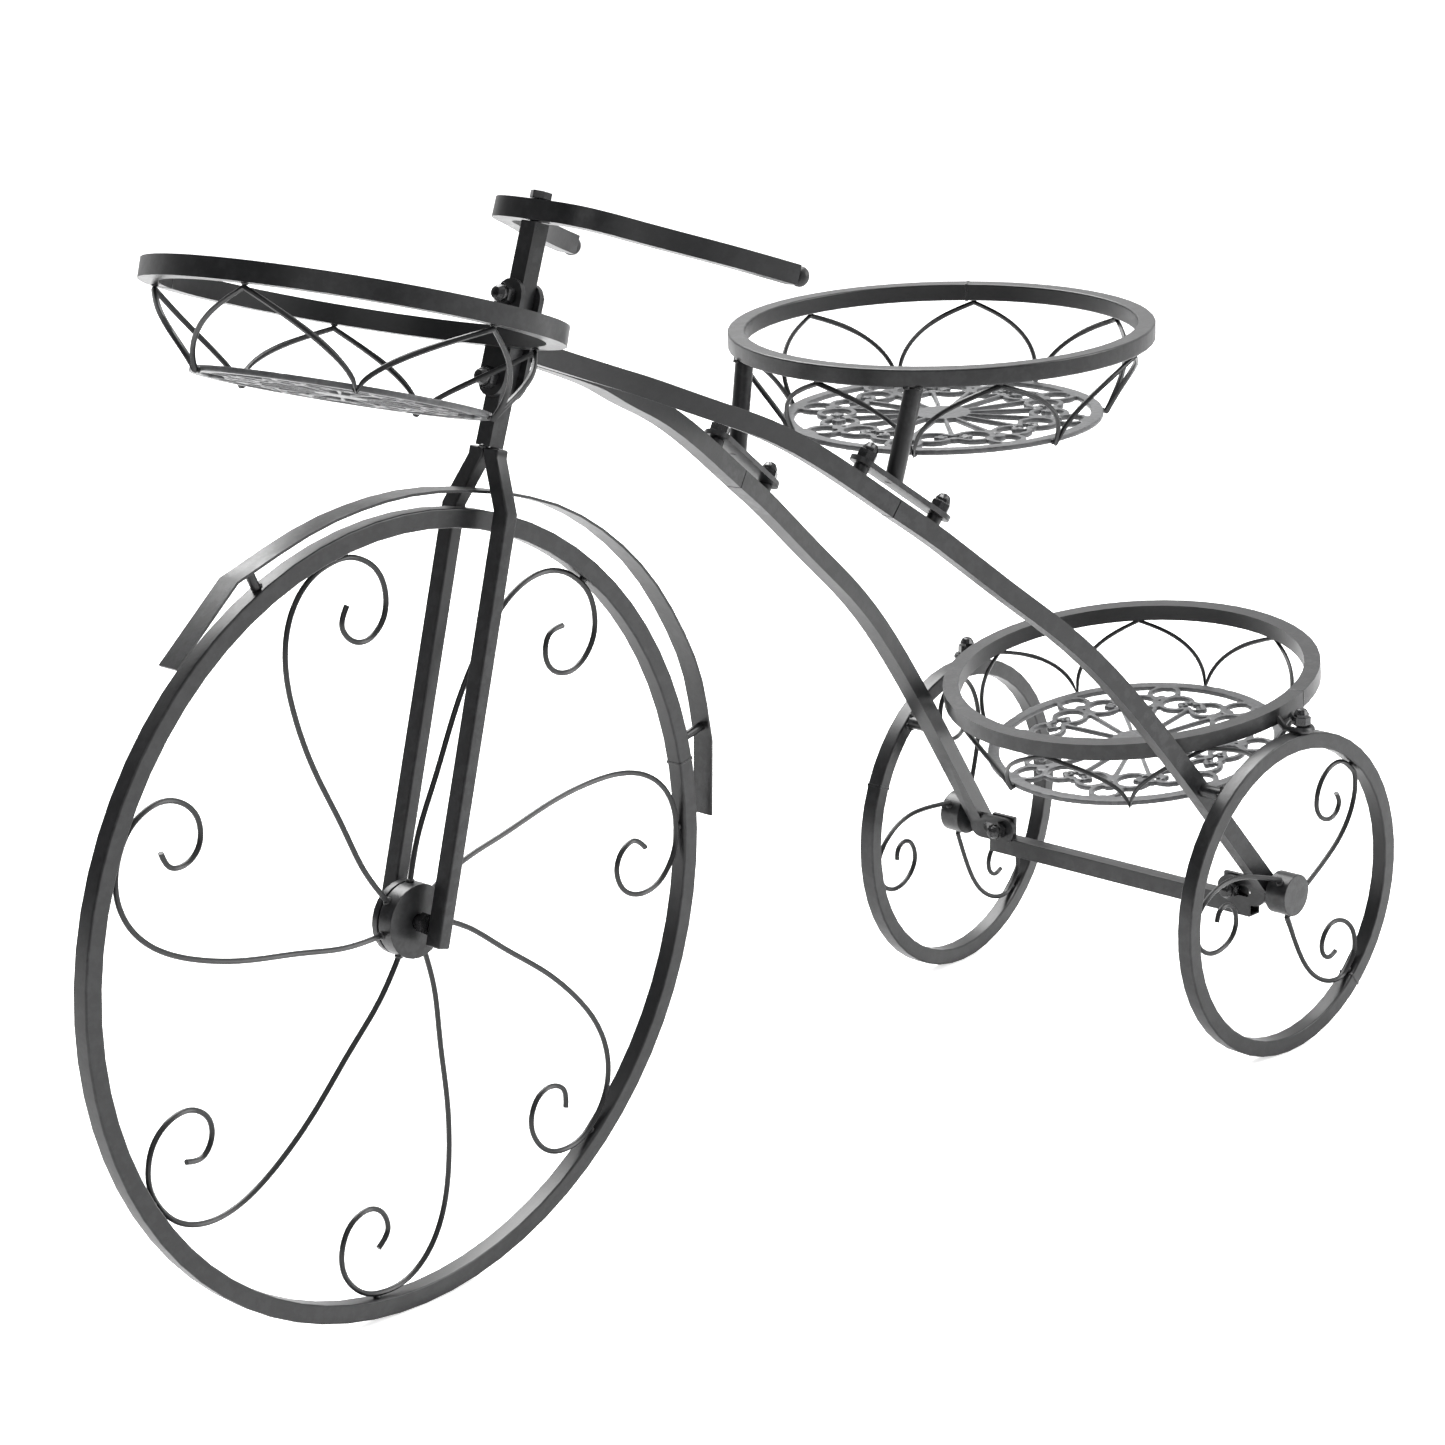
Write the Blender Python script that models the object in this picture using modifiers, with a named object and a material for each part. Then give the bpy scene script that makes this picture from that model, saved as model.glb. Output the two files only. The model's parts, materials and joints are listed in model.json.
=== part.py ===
"""Tricycle plant stand: three pot baskets carried on a welded steel tricycle frame.

The front wheel looks along -X, the rider's left side is -Y and the wheels stand on z = 0.
All lengths are in metres and all angles in degrees.
"""
import math

import bmesh
import bpy
from mathutils import Matrix, Vector

# General sizes
GAP = 0.0003
BORE_CLEARANCE = 0.0003
RUNNING_CLEARANCE = 0.00005
STAND_CENTRE_X = 0.2582
SHARP_ANGLE = 35.0
MERGE_DISTANCE = 0.00001
TURN_MERGE = 0.00005

# Front wheel
FRONT_RADIUS = 0.210
RIM_TUBE = 0.010
FRONT_RIM_STEPS = 72
FRONT_SCROLL_ANGLES = (23.0, 76.5, 129.0, 179.4, 229.0, 277.5, 328.5)
SCROLL_WIRE_RADIUS = 0.0018
SCROLL_CURVE_STEPS = 2
HUB_RADIUS = 0.0195
HUB_NEAR_LENGTH = 0.009
HUB_GROOVE_LENGTH = 0.001
HUB_GROOVE_DEPTH = 0.003
HUB_FLANGE_LENGTH = 0.004
HUB_STEPS = 28
AXLE_RADIUS = 0.004
AXLE_STEPS = 12
AXLE_NUT_WIDTH = 0.010
AXLE_NUT_LENGTH = 0.0032

# Fender
FENDER_WIDTH = 0.013
FENDER_THICKNESS = 0.0015
FENDER_CURVE_STEPS = 4
FENDER_STUB_RADIUS = 0.0025
FENDER_STUB_ANGLES = (64.0, 166.0)
FENDER_STUB_STEPS = 8

# Rear wheels
REAR_RADIUS = 0.1005
REAR_X = 0.6020
REAR_Y = 0.1275
REAR_TOE_ANGLE = 3.2
REAR_RIM_STEPS = 48
REAR_HUB_RADIUS = 0.0130
REAR_HUB_OUTER = 0.0055
REAR_HUB_STEPS = 24
REAR_SCROLL_ANGLES_LEFT = (51.0, 181.0, -44.5)
REAR_SCROLL_ANGLES_RIGHT = (93.0, 193.0, -47.0)

# Stem and fork
STEM_RAKE_ANGLE = 18.2
STEM_FOOT_X = 0.0637
STEM_FOOT_RISE = 0.023
STEM_LENGTH = 0.1142
STEM_WIDTH = 0.010
FORK_ARM_WIDTH = 0.010
FORK_ARM_DEPTH = 0.0082
FORK_ARM_Y = 0.0185
FORK_TOP_Y = 0.0053
FORK_SPLAY_LENGTH = 0.031
FORK_CROWN_SHARE = 0.15
FORK_FOOT_LENGTH = 0.012
FORK_AXLE_SHIFT = 0.0045

# Stem clamp
CLAMP_PLATE_LENGTH = 0.060
CLAMP_PLATE_WIDTH = 0.018
CLAMP_PLATE_THICKNESS = 0.003
CLAMP_PLATE_ALONG = 0.0545
CLAMP_BOLT_SPACING = 0.042
PLATE_END_STEPS = 8

# Fasteners
STUD_RADIUS = 0.003
STUD_STEPS = 10
NUT_WIDTH = 0.010
NUT_HEX_HEIGHT = 0.005
NUT_HEIGHT = 0.0105
NUT_DOME_RADIUS = 0.0046
NUT_BORE_DEPTH = 0.0075
NUT_STEPS = 12
BOLT_HEAD_HEIGHT = 0.004

# Handlebar
BAR_TUBE_WIDTH = 0.0105
BAR_TUBE_HEIGHT = 0.0105
BAR_CURVE_STEPS = 4
GRIP_RADIUS = 0.0058
GRIP_REACH = 0.007
GRIP_STEPS = 12
BAR_BOLT_LENGTH = 0.024
BAR_PITCH_ANGLE = 19.5
BAR_LIFT = 0.0003

# Frame rails and legs
RAIL_WIDTH = 0.010
RAIL_HEAD_ALONG = 0.0509
RAIL_HEAD_SEAM = 0.0006
LEG_FOOT_BEHIND = 0.0100
LEG_FOOT_BELOW = 0.0105
LEG_FOOT_INSET = 0.0141
RAIL_HEIGHT = 0.011
RAIL_CURVE_STEPS = 3
LEG_SEAM = 0.0006
LEG_STUB_RADIUS = 0.004
LEG_STUB_ANGLE = 50.7
LEG_TAB_THICKNESS = 0.003
LEG_TAB_HEIGHT = 0.016
LEG_TAB_INNER_INSET = 0.0485
LEG_TAB_OUTER_INSET = 0.0135
LEG_TAB_AHEAD = 0.0040
SLOT_HALF_LENGTH = 0.005

# Cross bar
CROSS_BAR_SIZE = 0.011
CROSS_BAR_WALL = 0.0012
CROSS_BAR_INSET = 0.0265
CROSS_BAR_BELOW = 0.0150
CROSS_BOLT_INSET = 0.0375
CROSS_BOLT_BELOW = 0.0035
CROSS_LUG_WIDTH = 0.018
CROSS_LUG_THICKNESS = 0.003
CROSS_LUG_RISE = 0.0055

# Baskets
BASKET_TUBE = 0.010
FRONT_DROP = 0.0435
MID_DROP = 0.0480
REAR_DROP = 0.0440
BASKET_RING_STEPS = 56
ARCH_WIRE_RADIUS = 0.0016
ARCH_STEPS = 5
ARCH_START_ANGLE = 35.0
FLOOR_THICKNESS = 0.003
MID_RING_RADIUS = 0.121
MID_FLOOR_RADIUS = 0.0915
MID_RISE = 0.0743
MID_BEHIND = 0.1108
MID_TILT_ANGLE = -2.5
MID_ARCHES = 7
MID_ARCH_TURN = 150.5
MID_ARCH_BOW = 1.0
REAR_RING_RADIUS = 0.1165
REAR_FLOOR_RADIUS = 0.0925
REAR_BASKET_BEHIND = 0.0086
REAR_BASKET_RISE = 0.0106
REAR_TILT_ANGLE = -9.0
REAR_ARCHES = 7
REAR_ARCH_TURN = 146.0
REAR_ARCH_BOW = 1.0
FRONT_RING_RADIUS = 0.1035
FRONT_FLOOR_RADIUS = 0.0730
FRONT_TILT_ANGLE = 17.0
FRONT_ROLL_ANGLE = -3.0
FRONT_ARCHES = 5
FRONT_ARCH_TURN = 56.0
FRONT_ARCH_BOW = 0.45

# Basket floor pattern
FLOOR_SECTORS = 8
FLOOR_HOLE_STEPS = 10

# Seat basket posts
POST_RADIUS = 0.0052
POST_STEPS = 14
POST_TOP_INSET = 0.0060
POST_TOP_ANGLE = 32.6
POST_FOOT_SHARE = 0.40
FOOT_PLATE_WIDTH = 0.016
FOOT_PLATE_THICKNESS = 0.003
FOOT_STANDOFF = 0.004
FOOT_STANDOFF_RADIUS = 0.0045
FOOT_STUD_AHEAD = 0.0252
FOOT_STUD_BEHIND = 0.0253
FOOT_PLATE_OVERHANG = 0.008

# Rear basket ears
EAR_STUD_BEHIND = 0.0060
EAR_LOOP_RADIUS = 0.0065
EAR_WIRE_RADIUS = 0.002
EAR_ROOT_DEPTH = 0.0025
EAR_ROOT_DROP = 0.002
EAR_KNEE = 0.007
EAR_STEPS = 16

# Outlines as shares of the wheel radius: sideways share, outward share
FRONT_SCROLL_SHARES = (
    (-0.052, 0.075), (-0.102, 0.184), (-0.135, 0.334), (-0.180, 0.509), (-0.196, 0.682),
    (-0.179, 0.800), (-0.135, 0.880), (-0.073, 0.927), (0.000, 0.943), (0.074, 0.930),
    (0.135, 0.875), (0.149, 0.806), (0.125, 0.745), (0.069, 0.717), (0.019, 0.735),
    (-0.004, 0.785), (0.027, 0.825),
)
REAR_SCROLL_SHARES = (
    (-0.110, 0.090), (-0.165, 0.250), (-0.222, 0.460), (-0.222, 0.640), (-0.165, 0.790),
    (-0.080, 0.875), (0.000, 0.900), (0.105, 0.862), (0.180, 0.765), (0.185, 0.640),
    (0.125, 0.535), (0.035, 0.505), (-0.050, 0.535), (-0.085, 0.605), (-0.060, 0.670),
    (0.000, 0.690),
)

# Fender centre line: angle from the front over the top, distance as a share of the wheel radius
FENDER_SHARES = (
    (47.5, 1.040), (61.0, 1.066), (78.0, 1.046), (96.0, 1.042), (118.0, 1.063),
    (137.0, 1.081), (155.0, 1.086), (168.0, 1.071), (178.8, 1.045),
)

# Handlebar centre line in its own plane as shares of its reach: back share, sideways share
BAR_REACH = 0.100
BAR_SHARES = (
    (0.000, 0.000), (0.000, 0.180), (0.040, 0.290), (0.140, 0.370), (0.300, 0.430),
    (0.480, 0.530), (0.660, 0.640), (0.860, 0.730), (1.090, 0.800),
)

# Frame centre line as shares of the way from the head plate to the rear hub: back, outward, up
RAIL_SHARES = (
    (0.0000, 0.0538, 1.0000), (0.0510, 0.0617, 0.9749), (0.0851, 0.0882, 0.9584),
    (0.1143, 0.1190, 0.9438), (0.1411, 0.1631, 0.9303), (0.1922, 0.2646, 0.8996),
    (0.2317, 0.3219, 0.8778), (0.2743, 0.3686, 0.8532), (0.3386, 0.4250, 0.8036),
    (0.4316, 0.5062, 0.7160),
)
LEG_SHARES = (
    (0.4316, 0.5062, 0.7160), (0.4781, 0.5467, 0.6769), (0.5816, 0.6367, 0.5702),
    (0.6526, 0.6984, 0.5048), (0.7251, 0.7619, 0.4227), (0.7988, 0.8263, 0.3169),
    (0.8742, 0.8915, 0.2007), (0.9355, 0.9453, 0.1016), (1.0000, 1.0000, 0.0000),
)

# Floor pattern as shares of the floor's radius; angle shares are of one sector's angle
RIM_SHARE = 0.925
DISC_SHARE = 0.175
SPOKE_HALF_SHARE = 0.0175
FIELD_SHARES = ((1.0, 0.505), (0.5, 0.464), (0.0, 0.455), (-0.5, 0.464), (-1.0, 0.512))
LOBE_CENTRE_SHARE = 0.575
LOBE_SIDE_SHARE = 0.116
LOBE_HOLE_SHARE = 0.086
LOBE_OPEN_ANGLE = 145
PETAL_SHARES = ((150.0, 0.42), (168.0, 0.30), (180.0, 0.56), (192.0, 0.30), (210.0, 0.42))
DIAMOND_SHARE = 0.024
CRESCENT_SHARES = ((0.0, 0.700), (0.12, 0.706), (0.21, 0.728), (0.27, 0.775), (0.305, 0.845), (0.31, 0.905))
SCALLOP_FOOT_SHARE = 0.695
SCALLOP_HEAD_SHARE = 0.830
SCALLOP_HALF_SHARE = 0.078

MATERIALS = {
    "frame_coat": ((0.050, 0.051, 0.053), 0.50, 0.35),
    "basket_coat": ((0.060, 0.061, 0.063), 0.55, 0.35),
    "floor_coat": ((0.110, 0.111, 0.114), 0.60, 0.40),
    "fastener_black": ((0.020, 0.020, 0.022), 0.30, 0.80),
    "grip_black": ((0.030, 0.030, 0.031), 0.42, 0.00),
}


def clear_scene():
    for item in list(bpy.data.objects):
        bpy.data.objects.remove(item)


def make_collection():
    collection = bpy.data.collections.new("tricycle_plant_stand")
    bpy.context.scene.collection.children.link(collection)
    return collection


def make_materials():
    made = {}
    for name, (colour, roughness, metallic) in MATERIALS.items():
        material = bpy.data.materials.new(name)
        material.use_nodes = True
        shader = material.node_tree.nodes["Principled BSDF"]
        shader.inputs["Base Color"].default_value = (*colour, 1.0)
        shader.inputs["Roughness"].default_value = roughness
        shader.inputs["Metallic"].default_value = metallic
        made[name] = material
    return made


def as_mesh(source, triangles=False):
    """Replace a curve or a modified mesh by its plain evaluated mesh, in triangles if its faces are bent."""
    bpy.context.scene.collection.objects.link(source)
    bpy.context.view_layer.update()
    evaluated = source.evaluated_get(bpy.context.evaluated_depsgraph_get())
    mesh = bpy.data.meshes.new_from_object(evaluated)
    name = source.name
    matrix = source.matrix_world.copy()
    bpy.data.objects.remove(source)
    shape = bmesh.new()
    shape.from_mesh(mesh)
    bmesh.ops.remove_doubles(shape, verts=shape.verts, dist=MERGE_DISTANCE)
    bmesh.ops.recalc_face_normals(shape, faces=shape.faces)
    if triangles:
        bmesh.ops.triangulate(shape, faces=shape.faces)
    shape.to_mesh(mesh)
    shape.free()
    mesh.materials.clear()
    mesh.name = name
    result = bpy.data.objects.new(name, mesh)
    result.matrix_world = matrix
    return result


def bake(source):
    """Write an object's own transform into its mesh."""
    source.data.transform(source.matrix_basis)
    source.matrix_basis = Matrix.Identity(4)
    return source


def combine(target, tool, operation):
    """Join or cut two closed meshes and keep the result in the first one."""
    scene = bpy.context.scene
    for item in (target, tool):
        scene.collection.objects.link(item)
    modifier = target.modifiers.new("combine", "BOOLEAN")
    modifier.operation = operation
    modifier.solver = "EXACT"
    modifier.object = tool
    bpy.context.view_layer.update()
    evaluated = target.evaluated_get(bpy.context.evaluated_depsgraph_get())
    mesh = bpy.data.meshes.new_from_object(evaluated)
    target.modifiers.clear()
    mesh.name = target.name
    target.data = mesh
    scene.collection.objects.unlink(target)
    bpy.data.objects.remove(tool)
    return target


def add_piece(stand, piece, slot, owner):
    """Give a finished piece its colour, its shading and its place in the collection."""
    piece.data.materials.clear()
    piece.data.materials.append(stand["materials"][slot])
    piece.data.shade_smooth()
    piece.data.set_sharp_from_angle(angle=math.radians(SHARP_ANGLE))
    stand["collection"].objects.link(piece)
    piece.parent = owner
    if owner != stand["origin"]:
        piece.matrix_basis = owner.matrix_basis.inverted() @ piece.matrix_basis
    return piece


def add_empty(stand, name, position, owner):
    """Stand an empty at a position, as the parent of what is fixed or turns there."""
    empty = bpy.data.objects.new(name, None)
    empty.location = position
    empty.parent = owner
    stand["collection"].objects.link(empty)
    return empty


def flat_sheet(name, loops, thickness):
    """Fill flat outlines and give them a thickness along their own Z."""
    data = bpy.data.curves.new(name, "CURVE")
    data.dimensions = "2D"
    data.fill_mode = "BOTH"
    data.extrude = thickness / 2
    for loop in loops:
        spline = data.splines.new("POLY")
        spline.points.add(len(loop) - 1)
        for point, (x, y) in zip(spline.points, loop):
            point.co = (x, y, 0.0, 1.0)
        spline.use_cyclic_u = True
    return as_mesh(bpy.data.objects.new(name, data))


def wire(name, points, radius, closed=False):
    """Bend a round wire along a line of points."""
    data = bpy.data.curves.new(name, "CURVE")
    data.dimensions = "3D"
    data.bevel_depth = radius
    data.bevel_resolution = 1
    data.use_fill_caps = not closed
    spline = data.splines.new("POLY")
    spline.points.add(len(points) - 1)
    for point, place in zip(spline.points, points):
        point.co = (*place, 1.0)
    spline.use_cyclic_u = closed
    return as_mesh(bpy.data.objects.new(name, data))


def square_tube(name, points, width, height):
    """Sweep a flat-topped rectangular section along a line of points."""
    section = bpy.data.curves.new(name + "_section", "CURVE")
    section.dimensions = "2D"
    edge = section.splines.new("POLY")
    corners = ((-1, -1), (1, -1), (1, 1), (-1, 1))
    edge.points.add(len(corners) - 1)
    for point, (across, up) in zip(edge.points, corners):
        point.co = (across * width / 2, up * height / 2, 0.0, 1.0)
    edge.use_cyclic_u = True
    guide = bpy.data.objects.new(name + "_section", section)
    guide.hide_render = True
    bpy.context.scene.collection.objects.link(guide)
    data = bpy.data.curves.new(name, "CURVE")
    data.dimensions = "3D"
    data.twist_mode = "Z_UP"
    data.bevel_mode = "OBJECT"
    data.bevel_object = guide
    data.use_fill_caps = True
    spline = data.splines.new("POLY")
    spline.points.add(len(points) - 1)
    for point, place in zip(spline.points, points):
        point.co = (*place, 1.0)
    result = as_mesh(bpy.data.objects.new(name, data), triangles=True)
    bpy.data.objects.remove(guide)
    return result


def turned(name, profile, steps, closed=False):
    """Turn a profile of radius and height pairs about the Z axis."""
    mesh = bpy.data.meshes.new(name)
    points = [(radius, 0.0, height) for radius, height in profile]
    edges = [(index, index + 1) for index in range(len(points) - 1)]
    if closed:
        edges.append((len(points) - 1, 0))
    mesh.from_pydata(points, edges, [])
    source = bpy.data.objects.new(name, mesh)
    screw = source.modifiers.new("turn", "SCREW")
    screw.axis = "Z"
    screw.angle = math.tau
    screw.steps = steps
    screw.render_steps = steps
    screw.use_merge_vertices = True
    screw.merge_threshold = TURN_MERGE
    return as_mesh(source)


def solid_rod(name, radius, start, end, steps):
    """Make a round rod between two points."""
    start = Vector(start)
    end = Vector(end)
    length = (end - start).length
    rod = turned(name, ((0.0, length), (radius, length), (radius, 0.0), (0.0, 0.0)), steps)
    turn = Vector((0.0, 0.0, 1.0)).rotation_difference(end - start)
    rod.matrix_basis = Matrix.Translation(start) @ turn.to_matrix().to_4x4()
    return bake(rod)


def polygon(count, radius, turn=0.0):
    """List the corners of a regular polygon."""
    corners = []
    for index in range(count):
        angle = math.radians(turn) + math.tau * index / count
        corners.append((radius * math.cos(angle), radius * math.sin(angle)))
    return corners


def hex_prism(name, width, height):
    """Make a six-sided prism that stands on z = 0, with its width across flats."""
    radius = width / math.sqrt(3)
    prism = flat_sheet(name, [polygon(6, radius)], height)
    prism.matrix_basis = Matrix.Translation((0.0, 0.0, height / 2))
    return bake(prism)


def flowing_line(points, steps):
    """Run an even B-spline past a line of points, from the first to the last."""
    places = [Vector(point) for point in points]
    first = places[0] * 2 - places[1]
    last = places[-1] * 2 - places[-2]
    places = [first] + places + [last]
    line = []
    for index in range(1, len(places) - 2):
        before, start, end, after = places[index - 1:index + 3]
        for step in range(steps):
            share = step / steps
            back = 1 - share
            middle = start * (3 * share ** 3 - 6 * share ** 2 + 4) + end * (3 * back ** 3 - 6 * back ** 2 + 4)
            line.append((before * back ** 3 + middle + after * share ** 3) / 6)
    line.append(Vector(points[-1]))
    return line


def smooth_line(points, steps):
    """Round a line of points with Catmull-Rom segments."""
    places = [Vector(point) for point in points]
    places = [places[0]] + places + [places[-1]]
    line = []
    for index in range(1, len(places) - 2):
        before, start, end, after = places[index - 1:index + 3]
        for step in range(steps):
            share = step / steps
            line.append(0.5 * (
                2 * start + (end - before) * share
                + (2 * before - 5 * start + 4 * end - after) * share ** 2
                + (3 * start - before - 3 * end + after) * share ** 3))
    line.append(places[-2])
    return line


def place_along(direction, position, roll_axis=Vector((0.0, 1.0, 0.0))):
    """Give the matrix that stands local Z along a direction at a position."""
    up = Vector(direction).normalized()
    side = Vector(roll_axis)
    side = (side - up * side.dot(up)).normalized()
    front = side.cross(up)
    turn = Matrix((front, side, up)).transposed()
    return Matrix.Translation(Vector(position)) @ turn.to_4x4()


def stem_point(along, forward=0.0):
    """Give a point by its way up the stem and its way in front of the stem's centre line."""
    rake = math.radians(STEM_RAKE_ANGLE)
    x = STEM_FOOT_X + along * math.sin(rake) - forward * math.cos(rake)
    z = FRONT_RADIUS * 2 + STEM_FOOT_RISE + along * math.cos(rake) + forward * math.sin(rake)
    return Vector((x, 0.0, z))


def stem_direction():
    rake = math.radians(STEM_RAKE_ANGLE)
    return Vector((math.sin(rake), 0.0, math.cos(rake)))


def stem_forward():
    rake = math.radians(STEM_RAKE_ANGLE)
    return Vector((-math.cos(rake), 0.0, math.sin(rake)))


def frame_line(side):
    """Run one side bar from the head plate to the rear hub and split it at the leg's seam."""
    stack = STEM_WIDTH / 2 + GAP + CLAMP_PLATE_THICKNESS + RAIL_HEAD_SEAM
    head = stem_point(RAIL_HEAD_ALONG, -stack)
    foot = Vector((REAR_X + LEG_FOOT_BEHIND, REAR_Y - LEG_FOOT_INSET, REAR_RADIUS - LEG_FOOT_BELOW))
    points = []
    for back, outward, height in RAIL_SHARES + LEG_SHARES[1:]:
        x = head.x + (foot.x - head.x) * back
        z = foot.z + (head.z - foot.z) * height
        points.append((x, side * foot.y * outward, z))
    line = flowing_line(points, RAIL_CURVE_STEPS)
    seam = (len(RAIL_SHARES) - 1) * RAIL_CURVE_STEPS
    return line[:seam + 1], line[seam:]


def wheel_rim(name, radius, steps):
    """Turn a wheel's square-tube rim and stand it upright."""
    half = RIM_TUBE / 2
    inner = radius - RIM_TUBE
    profile = ((radius, half), (radius, -half), (inner, -half), (inner, half))
    rim = turned(name, profile, steps, closed=True)
    rim.matrix_basis = Matrix.Rotation(math.radians(90.0), 4, "X")
    return bake(rim)


def scroll_line(shares, radius, weld_angle, swirl, hub_radius):
    """Place a scroll outline in the plane of its wheel, held between the hub and the rim."""
    least = hub_radius + GAP + SCROLL_WIRE_RADIUS / 2
    most = radius - RIM_TUBE - GAP - SCROLL_WIRE_RADIUS
    outward = Vector((math.cos(weld_angle), 0.0, math.sin(weld_angle)))
    sideways = Vector((-outward.z, 0.0, outward.x)) * swirl
    points = [outward * (away * radius) + sideways * (across * radius) for across, away in shares]
    line = []
    for point in smooth_line(points, SCROLL_CURVE_STEPS):
        reach = min(max(point.length, least), most)
        line.append(point * (reach / point.length))
    foot = line[0]
    slant = foot.normalized().cross((line[1] - foot).normalized()).length
    line[0] = foot * ((hub_radius + GAP + SCROLL_WIRE_RADIUS * slant) / foot.length)
    return line


def front_wheel(stand, owner):
    centre = Vector((0.0, 0.0, FRONT_RADIUS))
    rim = wheel_rim("front_rim", FRONT_RADIUS, FRONT_RIM_STEPS)
    rim.location = centre
    add_piece(stand, bake(rim), "frame_coat", owner)
    half = (HUB_NEAR_LENGTH + HUB_GROOVE_LENGTH + HUB_FLANGE_LENGTH) / 2
    groove_top = half - HUB_NEAR_LENGTH
    groove_foot = groove_top - HUB_GROOVE_LENGTH
    groove_radius = HUB_RADIUS - HUB_GROOVE_DEPTH
    bore = AXLE_RADIUS + RUNNING_CLEARANCE
    profile = (
        (bore, half), (HUB_RADIUS, half), (HUB_RADIUS, groove_top), (groove_radius, groove_top),
        (groove_radius, groove_foot), (HUB_RADIUS, groove_foot), (HUB_RADIUS, -half), (bore, -half),
    )
    hub = turned("front_hub", profile, HUB_STEPS, closed=True)
    hub.matrix_basis = Matrix.Translation(centre) @ Matrix.Rotation(math.radians(90.0), 4, "X")
    add_piece(stand, bake(hub), "frame_coat", owner)
    for index, weld in enumerate(FRONT_SCROLL_ANGLES):
        angle = math.radians(180.0 - weld)
        line = scroll_line(FRONT_SCROLL_SHARES, FRONT_RADIUS, angle, -1, HUB_RADIUS)
        scroll = wire(f"front_scroll_{index + 1}", line, SCROLL_WIRE_RADIUS)
        scroll.location = centre
        add_piece(stand, bake(scroll), "frame_coat", owner)


def fender_line():
    """List the fender's centre line about the wheel's centre, with straight nose and tail."""
    places = []
    for angle, share in FENDER_SHARES:
        turn = math.radians(180.0 - angle)
        places.append(Vector((math.cos(turn), math.sin(turn), 0.0)) * (share * FRONT_RADIUS))
    return places[:1] + smooth_line(places[1:-1], FENDER_CURVE_STEPS) + places[-1:]


def fender(stand, owner):
    """Make the flat strip fender with its straight nose and tail and its two welded stubs."""
    line = fender_line()
    edges = offset_edges(line, FENDER_THICKNESS)
    strip = flat_sheet("front_fender", [edges[0] + edges[1][::-1]], FENDER_WIDTH)
    upright = Matrix.Rotation(math.radians(90.0), 4, "X")
    strip.matrix_basis = Matrix.Translation((0.0, 0.0, FRONT_RADIUS)) @ upright
    bake(strip)
    base = Vector((0.0, 0.0, FRONT_RADIUS))
    for angle in FENDER_STUB_ANGLES:
        turn = math.radians(180.0 - angle)
        outward = Vector((math.cos(turn), 0.0, math.sin(turn)))
        nearest = min(line, key=lambda place: abs(math.atan2(place.y, place.x) - turn))
        stub = solid_rod("stub", FENDER_STUB_RADIUS, base + outward * (FRONT_RADIUS + GAP),
                         base + outward * nearest.length, FENDER_STUB_STEPS)
        combine(strip, stub, "UNION")
    add_piece(stand, strip, "frame_coat", owner)


def offset_edges(line, width):
    """List both edges of a flat strip that follows a line."""
    edges = ([], [])
    for index, point in enumerate(line):
        before = line[max(index - 1, 0)]
        after = line[min(index + 1, len(line) - 1)]
        along = (after - before).normalized()
        normal = Vector((-along.y, along.x, 0.0))
        for sign, edge in zip((1, -1), edges):
            edge.append(tuple((point + normal * sign * width / 2).to_2d()))
    return edges


def front_axle(stand):
    """Make the axle with its two hex collars, held between the fork arms."""
    reach = FORK_ARM_Y - FORK_ARM_WIDTH / 2 - GAP
    centre = Vector((0.0, 0.0, FRONT_RADIUS))
    side = Vector((0.0, reach, 0.0))
    axle = solid_rod("front_axle", AXLE_RADIUS, centre - side, centre + side, AXLE_STEPS)
    for sign in (-1, 1):
        collar = hex_prism("collar", AXLE_NUT_WIDTH, AXLE_NUT_LENGTH)
        collar.matrix_basis = place_along((0.0, -sign, 0.0), centre + side * sign, (1.0, 0.0, 0.0))
        combine(axle, bake(collar), "UNION")
    add_piece(stand, axle, "fastener_black", stand["origin"])


def rear_wheel_matrix(side):
    """Place a rear wheel upright with its rear edge turned outward by the toe angle."""
    toe = Matrix.Rotation(math.radians(side * REAR_TOE_ANGLE), 4, "Z")
    return Matrix.Translation((REAR_X, side * REAR_Y, REAR_RADIUS)) @ toe


def ear_spot(side, above):
    """Give a point over a rear wheel's ear stud at a height above the rim."""
    return rear_wheel_matrix(side) @ Vector((EAR_STUD_BEHIND, 0.0, REAR_RADIUS + above))


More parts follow.
